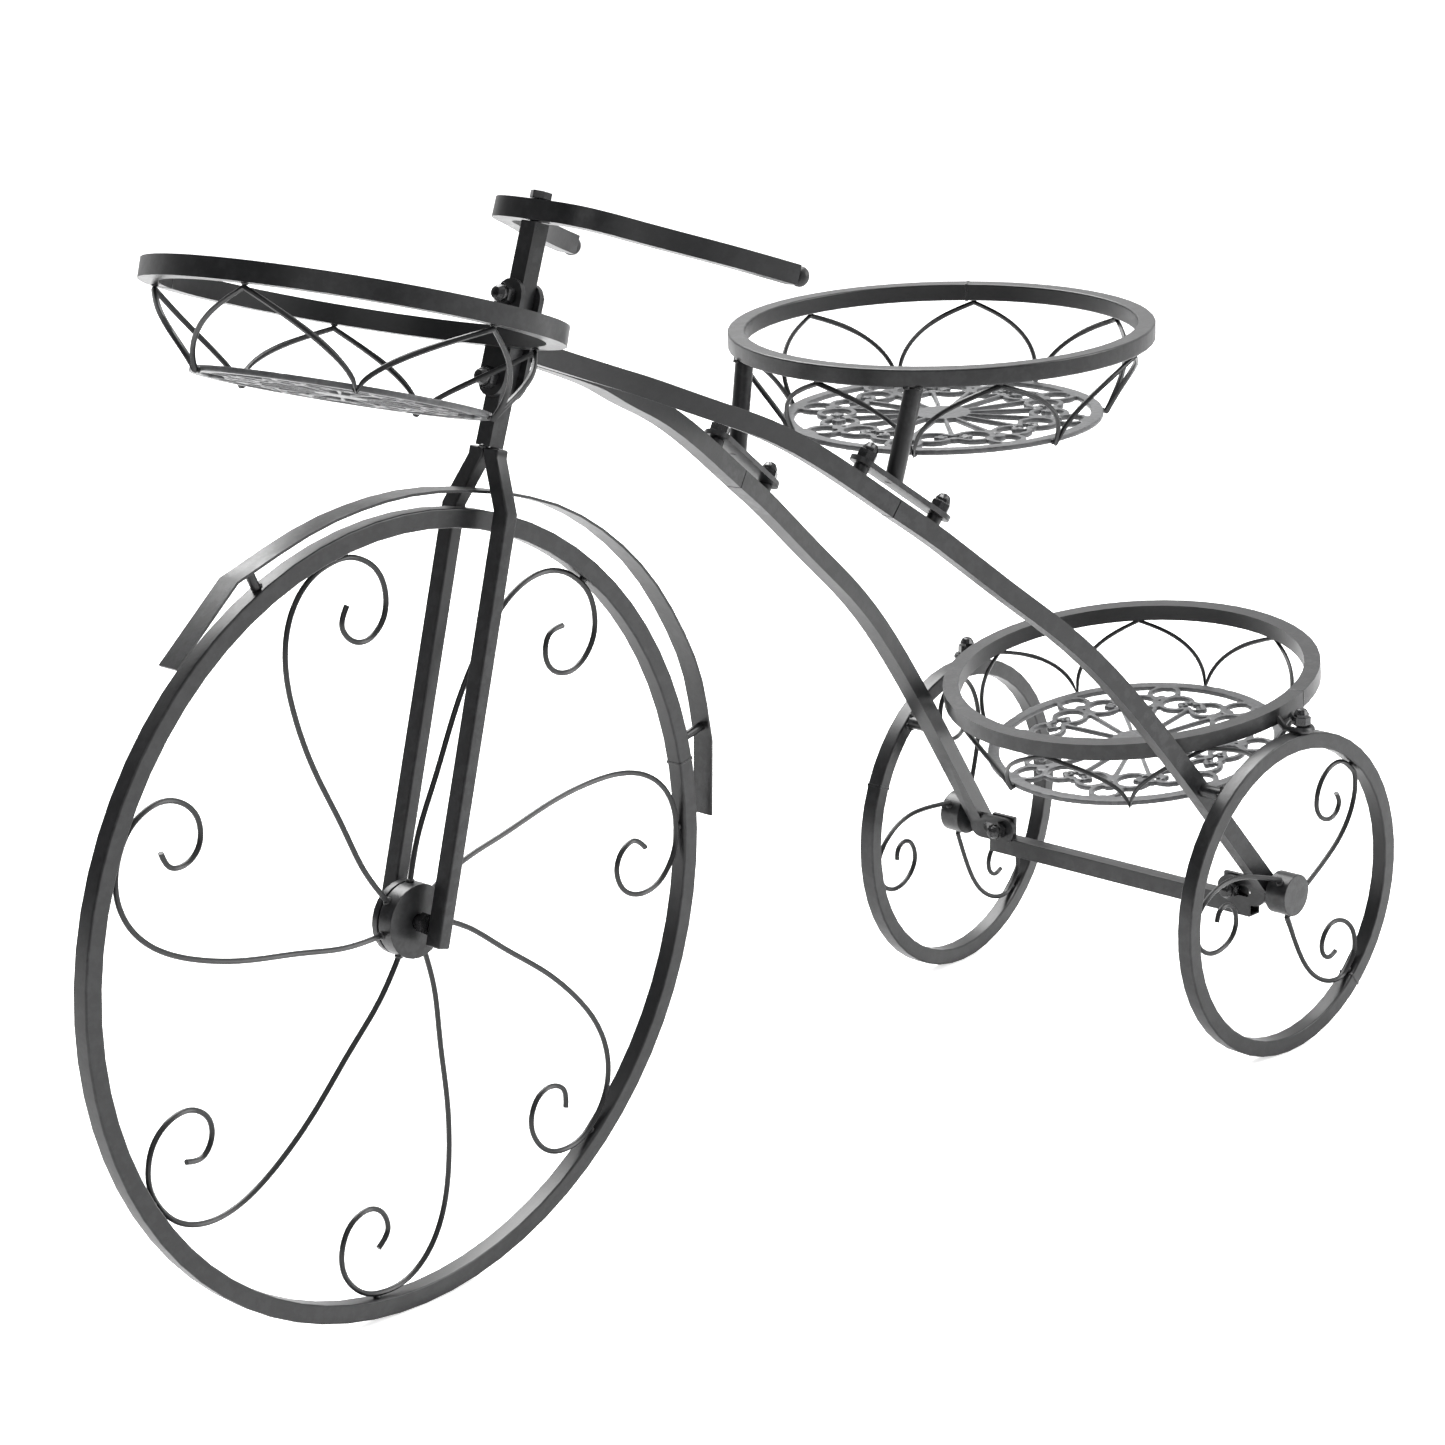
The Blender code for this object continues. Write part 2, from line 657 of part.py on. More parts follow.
def rear_wheel(stand, side, label, angles):
    place = rear_wheel_matrix(side)
    rim = wheel_rim(f"rear_rim_{label}", REAR_RADIUS, REAR_RIM_STEPS)
    foot_height = REAR_RADIUS - RIM_TUBE / 2
    stud_height = REAR_RADIUS + EAR_WIRE_RADIUS * 2 + NUT_BORE_DEPTH
    shift = EAR_STUD_BEHIND
    stud = solid_rod("stud", STUD_RADIUS, (shift, 0.0, foot_height), (shift, 0.0, stud_height), STUD_STEPS)
    combine(rim, stud, "UNION")
    rim.matrix_basis = place
    add_piece(stand, bake(rim), "frame_coat", stand["origin"])
    inner = REAR_Y - leg_outer_y() - GAP
    profile = (
        (0.0, REAR_HUB_OUTER), (REAR_HUB_RADIUS, REAR_HUB_OUTER),
        (REAR_HUB_RADIUS, -inner), (0.0, -inner),
    )
    hub = turned(f"rear_hub_{label}", profile, REAR_HUB_STEPS)
    hub.matrix_basis = place_along((0.0, side, 0.0), place.translation, (0.0, 0.0, 1.0))
    add_piece(stand, bake(hub), "frame_coat", stand["origin"])
    for index, angle in enumerate(angles):
        line = scroll_line(REAR_SCROLL_SHARES, REAR_RADIUS, math.radians(angle), 1, REAR_HUB_RADIUS)
        scroll = wire(f"rear_scroll_{label}_{index + 1}", line, SCROLL_WIRE_RADIUS)
        scroll.matrix_basis = place
        add_piece(stand, bake(scroll), "frame_coat", stand["origin"])


def leg_outer_y():
    """Give the legs' outer face at the rear hubs."""
    return REAR_Y - LEG_FOOT_INSET + RAIL_WIDTH / 2 + GAP


def rounded_bar(length, width):
    """List the outline of a flat bar with round ends, along its own X."""
    outline = []
    straight = (length - width) / 2
    for sign, first in ((1, -90.0), (-1, 90.0)):
        for step in range(PLATE_END_STEPS + 1):
            angle = math.radians(first + 180.0 * step / PLATE_END_STEPS)
            x = sign * straight + math.cos(angle) * width / 2
            outline.append((x, math.sin(angle) * width / 2))
    return outline


def clamp_plate(name, front):
    """Make one of the two round-ended plates that sandwich the stem."""
    holes = []
    for sign in (-1, 1):
        shift = sign * CLAMP_BOLT_SPACING / 2
        ring = polygon(STUD_STEPS, STUD_RADIUS + BORE_CLEARANCE)
        holes.append([(x + shift, y) for x, y in ring])
    outline = rounded_bar(CLAMP_PLATE_LENGTH, CLAMP_PLATE_WIDTH)
    plate = flat_sheet(name, [outline] + holes, CLAMP_PLATE_THICKNESS)
    away = STEM_WIDTH / 2 + GAP + CLAMP_PLATE_THICKNESS / 2
    if not front:
        away = -away
    up = stem_direction()
    turn = Matrix((up, Vector((0.0, 1.0, 0.0)), up.cross(Vector((0.0, 1.0, 0.0))))).transposed()
    plate.matrix_basis = Matrix.Translation(stem_point(CLAMP_PLATE_ALONG, away)) @ turn.to_4x4()
    return bake(plate)


def stem_and_fork(stand):
    up = stem_direction()
    foot = stem_point(0.0)
    stem = flat_sheet("stem", [square_outline(STEM_WIDTH, STEM_WIDTH)], STEM_LENGTH)
    stem.matrix_basis = place_along(up, stem_point(STEM_LENGTH / 2))
    bake(stem)
    for sign in (-1, 1):
        along = CLAMP_PLATE_ALONG + sign * CLAMP_BOLT_SPACING / 2
        cutter = solid_rod("cutter", STUD_RADIUS + BORE_CLEARANCE,
                           stem_point(along, STEM_WIDTH), stem_point(along, -STEM_WIDTH), STUD_STEPS)
        combine(stem, cutter, "DIFFERENCE")
    depth = BAR_BOLT_LENGTH - BAR_TUBE_HEIGHT
    cutter = solid_rod("cutter", STUD_RADIUS + BORE_CLEARANCE, stem_point(STEM_LENGTH - depth),
                       stem_point(STEM_LENGTH + GAP), STUD_STEPS)
    combine(stem, cutter, "DIFFERENCE")
    add_piece(stand, stem, "frame_coat", stand["origin"])
    bottom = Vector((FORK_AXLE_SHIFT, 0.0, FRONT_RADIUS))
    down = (bottom - foot).normalized()
    length = (bottom - foot).length + FORK_FOOT_LENGTH
    for side, label in ((-1, "left"), (1, "right")):
        line = (
            (GAP, FORK_TOP_Y), (FORK_SPLAY_LENGTH * FORK_CROWN_SHARE, FORK_TOP_Y),
            (FORK_SPLAY_LENGTH, FORK_ARM_Y), (length, FORK_ARM_Y),
        )
        outline = []
        for sign in (-1, 1):
            run = [(along, side * across + sign * FORK_ARM_WIDTH / 2) for along, across in line]
            outline += run if sign < 0 else run[::-1]
        arm = flat_sheet(f"fork_arm_{label}", [outline], FORK_ARM_DEPTH)
        across = Vector((0.0, 1.0, 0.0))
        turn = Matrix((down, across, down.cross(across))).transposed()
        arm.matrix_basis = Matrix.Translation(foot) @ turn.to_4x4()
        add_piece(stand, bake(arm), "frame_coat", stand["origin"])


def square_outline(width, height):
    corners = ((-1, -1), (1, -1), (1, 1), (-1, 1))
    return [(x * width / 2, y * height / 2) for x, y in corners]


def acorn_nut(name):
    """Make a closed dome nut that stands on z = 0 with a blind bore below."""
    nut = hex_prism(name, NUT_WIDTH, NUT_HEX_HEIGHT)
    rise = NUT_HEIGHT - NUT_DOME_RADIUS
    profile = [(0.0, NUT_HEIGHT)]
    for angle in (50.0, 10.0):
        turn = math.radians(angle)
        profile.append((NUT_DOME_RADIUS * math.cos(turn), rise + NUT_DOME_RADIUS * math.sin(turn)))
    profile += [(NUT_DOME_RADIUS, NUT_HEX_HEIGHT / 2), (0.0, NUT_HEX_HEIGHT / 2)]
    combine(nut, turned("dome", profile, NUT_STEPS), "UNION")
    bore = solid_rod("bore", STUD_RADIUS + BORE_CLEARANCE, (0.0, 0.0, -GAP),
                     (0.0, 0.0, NUT_BORE_DEPTH + GAP), STUD_STEPS)
    return combine(nut, bore, "DIFFERENCE")


def place_nut(stand, name, master, position, direction):
    nut = bpy.data.objects.new(name, master.data)
    upright = Vector((1.0, 0.0, 0.0)) if direction[1] else Vector((0.0, 1.0, 0.0))
    nut.matrix_basis = place_along(direction, position, upright)
    add_piece(stand, nut, "fastener_black", stand["origin"])


def hex_bolt(name, length):
    """Make a hex-head bolt that points down from z = 0."""
    bolt = hex_prism(name, NUT_WIDTH, BOLT_HEAD_HEIGHT)
    shank = solid_rod("shank", STUD_RADIUS, (0.0, 0.0, -length), (0.0, 0.0, BOLT_HEAD_HEIGHT / 2), STUD_STEPS)
    return combine(bolt, shank, "UNION")


def handlebar(stand, owner):
    """Bend the flat U handlebar, with its grips and its one bolt."""
    rake = stem_direction()
    pitch = math.radians(BAR_PITCH_ANGLE)
    back = Vector((math.cos(pitch), 0.0, -math.sin(pitch)))
    side = Vector((0.0, 1.0, 0.0))
    centre = stem_point(STEM_LENGTH + GAP + BAR_LIFT + BAR_TUBE_HEIGHT / 2)
    half = [(away * BAR_REACH, across * BAR_REACH) for away, across in BAR_SHARES]
    mirrored = [(away, -across) for away, across in half[:0:-1]]
    line = flowing_line([(x, y, 0.0) for x, y in mirrored + half], BAR_CURVE_STEPS)
    edges = offset_edges(line, BAR_TUBE_WIDTH)
    bar = flat_sheet("handlebar", [edges[0] + edges[1][::-1]], BAR_TUBE_HEIGHT)
    turn = Matrix((back, side, back.cross(side))).transposed().to_4x4()
    bar.matrix_basis = Matrix.Translation(centre) @ turn
    bake(bar)
    hole = solid_rod("hole", STUD_RADIUS + BORE_CLEARANCE, stem_point(STEM_LENGTH - BAR_TUBE_HEIGHT),
                     stem_point(STEM_LENGTH + BAR_TUBE_HEIGHT * 2), STUD_STEPS)
    add_piece(stand, combine(bar, hole, "DIFFERENCE"), "frame_coat", owner)
    for sign, label in ((-1, "left"), (1, "right")):
        end = line[0] if sign < 0 else line[-1]
        inside = line[1] if sign < 0 else line[-2]
        outward = (end - inside).normalized()
        direction = back * outward.x + side * outward.y
        position = centre + back * end.x + side * end.y + direction * GAP
        profile = [(0.0, GRIP_REACH)]
        for angle in (60.0, 30.0, 0.0):
            bend = math.radians(angle)
            height = GRIP_REACH - GRIP_RADIUS + GRIP_RADIUS * math.sin(bend)
            profile.append((GRIP_RADIUS * math.cos(bend), height))
        profile += [(GRIP_RADIUS, 0.0), (0.0, 0.0)]
        grip = turned(f"grip_{label}", profile, GRIP_STEPS)
        grip.matrix_basis = place_along(direction, position)
        add_piece(stand, bake(grip), "grip_black", owner)
    bolt = hex_bolt("handlebar_bolt", BAR_BOLT_LENGTH - GAP)
    seat = STEM_LENGTH + BAR_TUBE_HEIGHT + (GAP + BAR_LIFT) * 2
    bolt.matrix_basis = place_along(rake, stem_point(seat))
    add_piece(stand, bake(bolt), "fastener_black", stand["origin"])


def clamp(stand, nut):
    """Bolt the two round-ended plates through the stem."""
    add_piece(stand, clamp_plate("head_plate", False), "frame_coat", stand["origin"])
    forward = stem_forward()
    stack = STEM_WIDTH / 2 + GAP * 2 + CLAMP_PLATE_THICKNESS
    for sign, label in ((-1, "lower"), (1, "upper")):
        along = CLAMP_PLATE_ALONG + sign * CLAMP_BOLT_SPACING / 2
        bolt = hex_bolt(f"clamp_bolt_{label}", stack * 2 + NUT_BORE_DEPTH)
        bolt.matrix_basis = place_along(-forward, stem_point(along, -stack))
        add_piece(stand, bake(bolt), "fastener_black", stand["origin"])
        place_nut(stand, f"clamp_nut_{label}", nut, stem_point(along, stack), forward)


def basket_frame(centre, tilt, roll=0.0):
    """Give the matrix of a basket with its front edge lifted and its left edge lowered."""
    pitch = Matrix.Rotation(math.radians(tilt), 4, "Y")
    return Matrix.Translation(Vector(centre)) @ pitch @ Matrix.Rotation(math.radians(roll), 4, "X")


def basket_ring(name, radius):
    half = BASKET_TUBE / 2
    inner = radius - BASKET_TUBE
    profile = ((radius, half), (radius, -half), (inner, -half), (inner, half))
    return turned(name, profile, BASKET_RING_STEPS, closed=True)


def arch_wire(name, ring_radius, floor_radius, depth, count, turn, bow):
    """Bend one wire round the basket into pointed arches between ring and floor."""
    top_radius = ring_radius - BASKET_TUBE / 2
    foot_radius = floor_radius + GAP + ARCH_WIRE_RADIUS
    top = -BASKET_TUBE / 2 - GAP - ARCH_WIRE_RADIUS
    drop = depth + FLOOR_THICKNESS / 2 + top
    first = math.radians(ARCH_START_ANGLE)
    half = math.pi / count
    points = []
    for arch in range(count):
        apex = math.radians(turn) + math.tau * arch / count
        for sign in (-1, 1):
            steps = range(ARCH_STEPS, 0, -1) if sign < 0 else range(ARCH_STEPS)
            for step in steps:
                bend = first + (math.pi / 2 - first) * step / ARCH_STEPS
                sideways = (math.sin(bend) - math.sin(first)) / (1 - math.sin(first))
                down = (math.cos(first) - math.cos(bend)) / math.cos(first)
                down = sideways + (down - sideways) * bow
                angle = apex + sign * half * sideways
                radius = top_radius + (foot_radius - top_radius) * down
                # Angles count from the front, so the front of the stand is zero
                points.append((-radius * math.cos(angle), radius * math.sin(angle), top - drop * down))
    return wire(name, points, ARCH_WIRE_RADIUS, closed=True)


def floor_holes(radius):
    """List every opening of the scrollwork floor, one eighth at a time."""
    holes = []
    sector = math.tau / FLOOR_SECTORS
    for index in range(FLOOR_SECTORS):
        middle = sector * index
        for loop in sector_holes(sector):
            holes.append([turned_point(x * radius, y * radius, middle) for x, y in loop])
    return holes


def turned_point(x, y, angle):
    return (x * math.cos(angle) - y * math.sin(angle), x * math.sin(angle) + y * math.cos(angle))


def sector_holes(sector):
    """List the openings of one eighth of the floor as shares of its radius."""
    return lobe_holes() + [crescent_hole(sector), scallop_hole(sector)] + spoke_holes(sector)


def lobe_holes():
    """Open the two round lobes, each bitten by the petals of the flower between them."""
    holes = [[(LOBE_CENTRE_SHARE + x, y) for x, y in polygon(4, DIAMOND_SHARE)]]
    turns = range(-LOBE_OPEN_ANGLE, LOBE_OPEN_ANGLE + 1, LOBE_OPEN_ANGLE * 2 // FLOOR_HOLE_STEPS)
    outline = [(angle, 1.0) for angle in turns] + list(PETAL_SHARES)
    for sign in (-1, 1):
        loop = []
        for angle, share in outline:
            turn = math.radians(angle)
            reach = LOBE_HOLE_SHARE * share
            x = LOBE_CENTRE_SHARE + reach * math.sin(turn)
            loop.append((x, sign * (LOBE_SIDE_SHARE + reach * math.cos(turn))))
        holes.append(loop)
    return holes


def crescent_hole(sector):
    """Open the long crescent between the rim and the pair of lobes."""
    inner = [turned_point(reach, 0.0, sector * turn) for turn, reach in CRESCENT_SHARES]
    outer = [turned_point(RIM_SHARE, 0.0, sector * turn) for turn, reach in CRESCENT_SHARES[::2]]
    left = [(x, -y) for x, y in inner[:0:-1]]
    return left + inner + outer[::-1] + [(x, -y) for x, y in outer[1:]]


def scallop_hole(sector):
    """Open the half-round scallop on the web between two sectors."""
    height = SCALLOP_HEAD_SHARE - SCALLOP_FOOT_SHARE
    loop = []
    for step in range(FLOOR_HOLE_STEPS // 2 + 2):
        angle = math.pi * step / (FLOOR_HOLE_STEPS // 2 + 1)
        x = SCALLOP_FOOT_SHARE + height * math.sin(angle)
        loop.append(turned_point(x, SCALLOP_HALF_SHARE * math.cos(angle), sector / 2))
    return loop


def spoke_holes(sector):
    """Open the two fields on each side of the middle spoke, out to the lobes."""
    holes = []
    for sign in (-1, 1):
        middle = sign * sector / 4
        loop = []
        for side in (1, -1):
            half = sector / 4 - SPOKE_HALF_SHARE / DISC_SHARE
            loop.append(turned_point(DISC_SHARE, 0.0, middle + sign * side * half))
        for side, reach in FIELD_SHARES:
            half = sector / 4 - SPOKE_HALF_SHARE / reach
            loop.append(turned_point(reach, 0.0, middle - sign * side * half))
        holes.append(loop)
    return holes


def floor_plate(name, radius, depth):
    outline = polygon(FLOOR_SECTORS * 6, radius)
    plate = flat_sheet(name, [outline] + floor_holes(radius), FLOOR_THICKNESS)
    plate.location.z = -depth
    return bake(plate)


def basket(stand, label, matrix, ring_radius, floor_radius, depth, arches, turn, bow):
    """Build one basket and give back its ring for further welding."""
    ring = basket_ring(f"{label}_ring", ring_radius)
    pieces = (
        (arch_wire(f"{label}_arches", ring_radius, floor_radius, depth, arches, turn, bow), "basket_coat"),
        (floor_plate(f"{label}_floor", floor_radius, depth), "floor_coat"),
    )
    for piece, slot in pieces:
        piece.matrix_basis = matrix
        add_piece(stand, bake(piece), slot, stand["origin"])
    ring.matrix_basis = matrix
    return bake(ring)


def front_basket(stand):
    """Hang the front basket square to the stem from its strap plate."""
    tilt = math.radians(FRONT_TILT_ANGLE)
    centre = stem_point(CLAMP_PLATE_ALONG, STEM_WIDTH / 2 + GAP)
    centre += Vector((-math.cos(tilt), 0.0, math.sin(tilt))) * FRONT_RING_RADIUS
    matrix = basket_frame(centre, FRONT_TILT_ANGLE, FRONT_ROLL_ANGLE)
    ring = basket(stand, "front", matrix, FRONT_RING_RADIUS, FRONT_FLOOR_RADIUS,
                  FRONT_DROP, FRONT_ARCHES, FRONT_ARCH_TURN, FRONT_ARCH_BOW)
    plate = clamp_plate("strap", True)
    add_piece(stand, combine(ring, plate, "UNION"), "basket_coat", stand["origin"])


def rear_basket(stand):
    """Set the rear basket between the rear wheels on two wire ears."""
    centre = (REAR_X + REAR_BASKET_BEHIND, 0.0, REAR_RADIUS * 2 + REAR_BASKET_RISE)
    ring = basket(stand, "rear", basket_frame(centre, REAR_TILT_ANGLE), REAR_RING_RADIUS, REAR_FLOOR_RADIUS,
                  REAR_DROP, REAR_ARCHES, REAR_ARCH_TURN, REAR_ARCH_BOW)
    for side in (-1, 1):
        spot = ear_spot(side, GAP + EAR_WIRE_RADIUS)
        root = side * (REAR_RING_RADIUS - EAR_ROOT_DEPTH)
        knee = spot.y - side * EAR_KNEE
        height = centre[2] - EAR_ROOT_DROP
        front = spot.x - EAR_LOOP_RADIUS
        back = spot.x + EAR_LOOP_RADIUS
        points = [(back, root, height), (back, knee, spot.z)]
        for step in range(EAR_STEPS // 2 + 1):
            angle = math.pi * step * 2 / EAR_STEPS
            x = spot.x + EAR_LOOP_RADIUS * math.cos(angle)
            y = spot.y + side * EAR_LOOP_RADIUS * math.sin(angle)
            points.append((x, y, spot.z))
        points += [(front, knee, spot.z), (front, root, height)]
        combine(ring, wire("ear", points, EAR_WIRE_RADIUS), "UNION")
    add_piece(stand, ring, "basket_coat", stand["origin"])


def rail_normal(first, second):
    """Give the direction square to a rail's top face between two points."""
    along = (Vector(second) - Vector(first)).normalized()
    side = Vector((0.0, 0.0, 1.0)).cross(along).normalized()
    return along.cross(side)


def rail_height(line, x):
    """Read a centre line's point at a distance back."""
    for start, end in zip(line, line[1:]):
        if start.x <= x <= end.x:
            return start.lerp(end, (x - start.x) / (end.x - start.x))
    return line[-1]


def foot_spots(side):
    """Give the two stud feet of one seat post and the way the studs point."""
    rail, leg = frame_line(side)
    first = rail_height(rail, leg[0].x - FOOT_STUD_AHEAD)
    second = rail_height(leg, leg[0].x + FOOT_STUD_BEHIND)
    return first, second, rail_normal(first, second)


def mirrored(piece, name):
    """Copy a left-hand piece to the right-hand side."""
    mesh = piece.data.copy()
    mesh.name = name
    mesh.transform(Matrix.Scale(-1.0, 4, (0.0, 1.0, 0.0)))
    mesh.flip_normals()
    return bpy.data.objects.new(name, mesh)


def rails_and_legs(stand, nut):
    """Sweep the left rail and leg, then mirror both to the right."""
    first, second, up = foot_spots(-1)
    line, points = frame_line(-1)
    rail = square_tube("rail_left", line, RAIL_WIDTH, RAIL_HEIGHT)
    add_stud(rail, first, up)
    points[0] += (points[1] - points[0]).normalized() * LEG_SEAM
    leg = square_tube("leg_left", points, RAIL_WIDTH, RAIL_HEIGHT)
    add_stud(leg, second, up)
    combine(leg, leg_tab(-1), "UNION")
    reach = (REAR_RADIUS - RIM_TUBE / 2) * math.cos(math.radians(LEG_STUB_ANGLE))
    start = rail_height(points, REAR_X - reach)
    slant = math.tan(math.radians(REAR_TOE_ANGLE))
    face = REAR_Y - RIM_TUBE / 2 - GAP * 2 - (reach + LEG_STUB_RADIUS) * slant
    combine(leg, solid_rod("stub", LEG_STUB_RADIUS, start, (start.x, -face, start.z), STUD_STEPS), "UNION")
    for piece, name in ((rail, "rail_right"), (leg, "leg_right")):
        add_piece(stand, mirrored(piece, name), "frame_coat", stand["origin"])
        add_piece(stand, piece, "frame_coat", stand["origin"])
    seat = RAIL_HEIGHT / 2 + FOOT_STANDOFF + FOOT_PLATE_THICKNESS + GAP * 2
    for side, label in ((-1, "left"), (1, "right")):
        first, second, up = foot_spots(side)
        for spot, place in ((first, "front"), (second, "back")):
            place_nut(stand, f"foot_nut_{label}_{place}", nut, spot + up * seat, up)


def add_stud(rail, spot, up):
    """Weld a stud with its stand-off collar to the top of a rail."""
    base = spot + up * (RAIL_HEIGHT / 4)
    shoulder = spot + up * (RAIL_HEIGHT / 2 + FOOT_STANDOFF)
    tip = shoulder + up * (FOOT_PLATE_THICKNESS + NUT_BORE_DEPTH)
    combine(rail, solid_rod("standoff", FOOT_STANDOFF_RADIUS, base, shoulder, STUD_STEPS), "UNION")
    combine(rail, solid_rod("stud", STUD_RADIUS, base, tip, STUD_STEPS), "UNION")


def cross_bolt_spot():
    """Give how far out and how high the cross bar's bolts sit."""
    return REAR_Y - CROSS_BOLT_INSET, REAR_RADIUS - CROSS_BOLT_BELOW


def leg_tab(side):
    """Make the round-ended slotted plate that joins a leg to the cross bar."""
    width = LEG_TAB_INNER_INSET - LEG_TAB_OUTER_INSET
    middle = REAR_Y - (LEG_TAB_INNER_INSET + LEG_TAB_OUTER_INSET) / 2
    bolt_y, bolt_z = cross_bolt_spot()
    slot = []
    for x, y in polygon(STUD_STEPS, STUD_RADIUS + BORE_CLEARANCE):
        shift = SLOT_HALF_LENGTH * 2 if x > 0 else 0.0
        slot.append((x + shift + bolt_y - middle, y))
    plate = flat_sheet("tab", [rounded_bar(width, LEG_TAB_HEIGHT), slot], LEG_TAB_THICKNESS)
    across = Vector((0.0, side, 0.0))
    up = Vector((0.0, 0.0, 1.0))
    turn = Matrix((across, up, across.cross(up))).transposed()
    plate.matrix_basis = Matrix.Translation((REAR_X - LEG_TAB_AHEAD, side * middle, bolt_z)) @ turn.to_4x4()
    return bake(plate)


def cross_bar(stand, nut):
    """Make the open-ended cross tube with its two lugs, bolted behind the legs' tabs."""
    bolt_y, bolt_z = cross_bolt_spot()
    tab_x = REAR_X - LEG_TAB_AHEAD
    bar_z = REAR_RADIUS - CROSS_BAR_BELOW
    inner = CROSS_BAR_SIZE - CROSS_BAR_WALL * 2
    loops = [square_outline(CROSS_BAR_SIZE, CROSS_BAR_SIZE), square_outline(inner, inner)]
    bar = flat_sheet("cross_bar", loops, (REAR_Y - CROSS_BAR_INSET) * 2)
    front = tab_x + LEG_TAB_THICKNESS / 2 + GAP
    back = front + CROSS_LUG_THICKNESS
    upright = Matrix.Rotation(math.radians(90.0), 4, "X")
    bar.matrix_basis = Matrix.Translation((front + CROSS_BAR_SIZE / 2, 0.0, bar_z)) @ upright
    bake(bar)
    foot = bar_z + CROSS_BAR_SIZE / 2 - CROSS_BAR_WALL / 2
    height = REAR_RADIUS + CROSS_LUG_RISE - foot
    seat = tab_x - LEG_TAB_THICKNESS / 2 - GAP
    for side, label in ((-1, "left"), (1, "right")):
        hole = [(x, y + bolt_z - foot - height / 2)
                for x, y in polygon(STUD_STEPS, STUD_RADIUS + BORE_CLEARANCE)]
        lug = flat_sheet("lug", [square_outline(CROSS_LUG_WIDTH, height), hole], CROSS_LUG_THICKNESS)
        across = Vector((0.0, side, 0.0))
        up = Vector((0.0, 0.0, 1.0))
        turn = Matrix((across, up, across.cross(up))).transposed().to_4x4()
        middle = (front + CROSS_LUG_THICKNESS / 2, side * bolt_y, foot + height / 2)
        lug.matrix_basis = Matrix.Translation(middle) @ turn
        combine(bar, bake(lug), "UNION")
        bolt = hex_bolt(f"cross_bolt_{label}", back - seat + GAP + NUT_BORE_DEPTH)
        bolt.matrix_basis = place_along((1.0, 0.0, 0.0), (back + GAP, side * bolt_y, bolt_z))
        add_piece(stand, bake(bolt), "fastener_black", stand["origin"])
        place_nut(stand, f"cross_nut_{label}", nut, (seat, side * bolt_y, bolt_z), (-1.0, 0.0, 0.0))
    add_piece(stand, bar, "frame_coat", stand["origin"])


def seat_frame():
    """Place the seat basket's ring over the middle of its foot plates."""
    first, second, _ = foot_spots(1)
    middle = (first + second) / 2
    return basket_frame((middle.x + MID_BEHIND, 0.0, middle.z + MID_RISE), MID_TILT_ANGLE)


def seat_posts(stand):
    """Stand the seat basket's two posts on their foot plates."""
    for side, label in ((-1, "left"), (1, "right")):
        first, second, up = foot_spots(side)
        along = (second - first).normalized()
        length = (second - first).length + FOOT_PLATE_OVERHANG * 2
        middle = (first + second) / 2
        holes = []
        for sign in (-1, 1):
            ring = polygon(STUD_STEPS, STUD_RADIUS + BORE_CLEARANCE)
            holes.append([(x + sign * (second - first).length / 2, y) for x, y in ring])
        outline = rounded_bar(length, FOOT_PLATE_WIDTH)
        plate = flat_sheet(f"seat_post_{label}", [outline] + holes, FOOT_PLATE_THICKNESS)
        seat = RAIL_HEIGHT / 2 + FOOT_STANDOFF + GAP + FOOT_PLATE_THICKNESS / 2
        turn = Matrix((along, up.cross(along), up)).transposed()
        plate.matrix_basis = Matrix.Translation(middle + up * seat) @ turn.to_4x4()
        bake(plate)
        angle = math.radians(POST_TOP_ANGLE)
        ring = seat_frame()
        reach = MID_RING_RADIUS - POST_TOP_INSET
        x = -reach * math.cos(angle)
        y = side * reach * math.sin(angle)
        top = ring @ Vector((x, y, 0.0))
        foot = first.lerp(second, POST_FOOT_SHARE) + up * seat
        post = solid_rod("post", POST_RADIUS, foot, top, POST_STEPS)
        combine(plate, post, "UNION")
        cutter = flat_sheet("cutter", [square_outline(FOOT_PLATE_WIDTH, FOOT_PLATE_WIDTH)], BASKET_TUBE * 2)
        cutter.matrix_basis = ring @ Matrix.Translation((x, y, BASKET_TUBE / 2 - GAP))
        combine(plate, bake(cutter), "DIFFERENCE")
        add_piece(stand, plate, "frame_coat", stand["origin"])


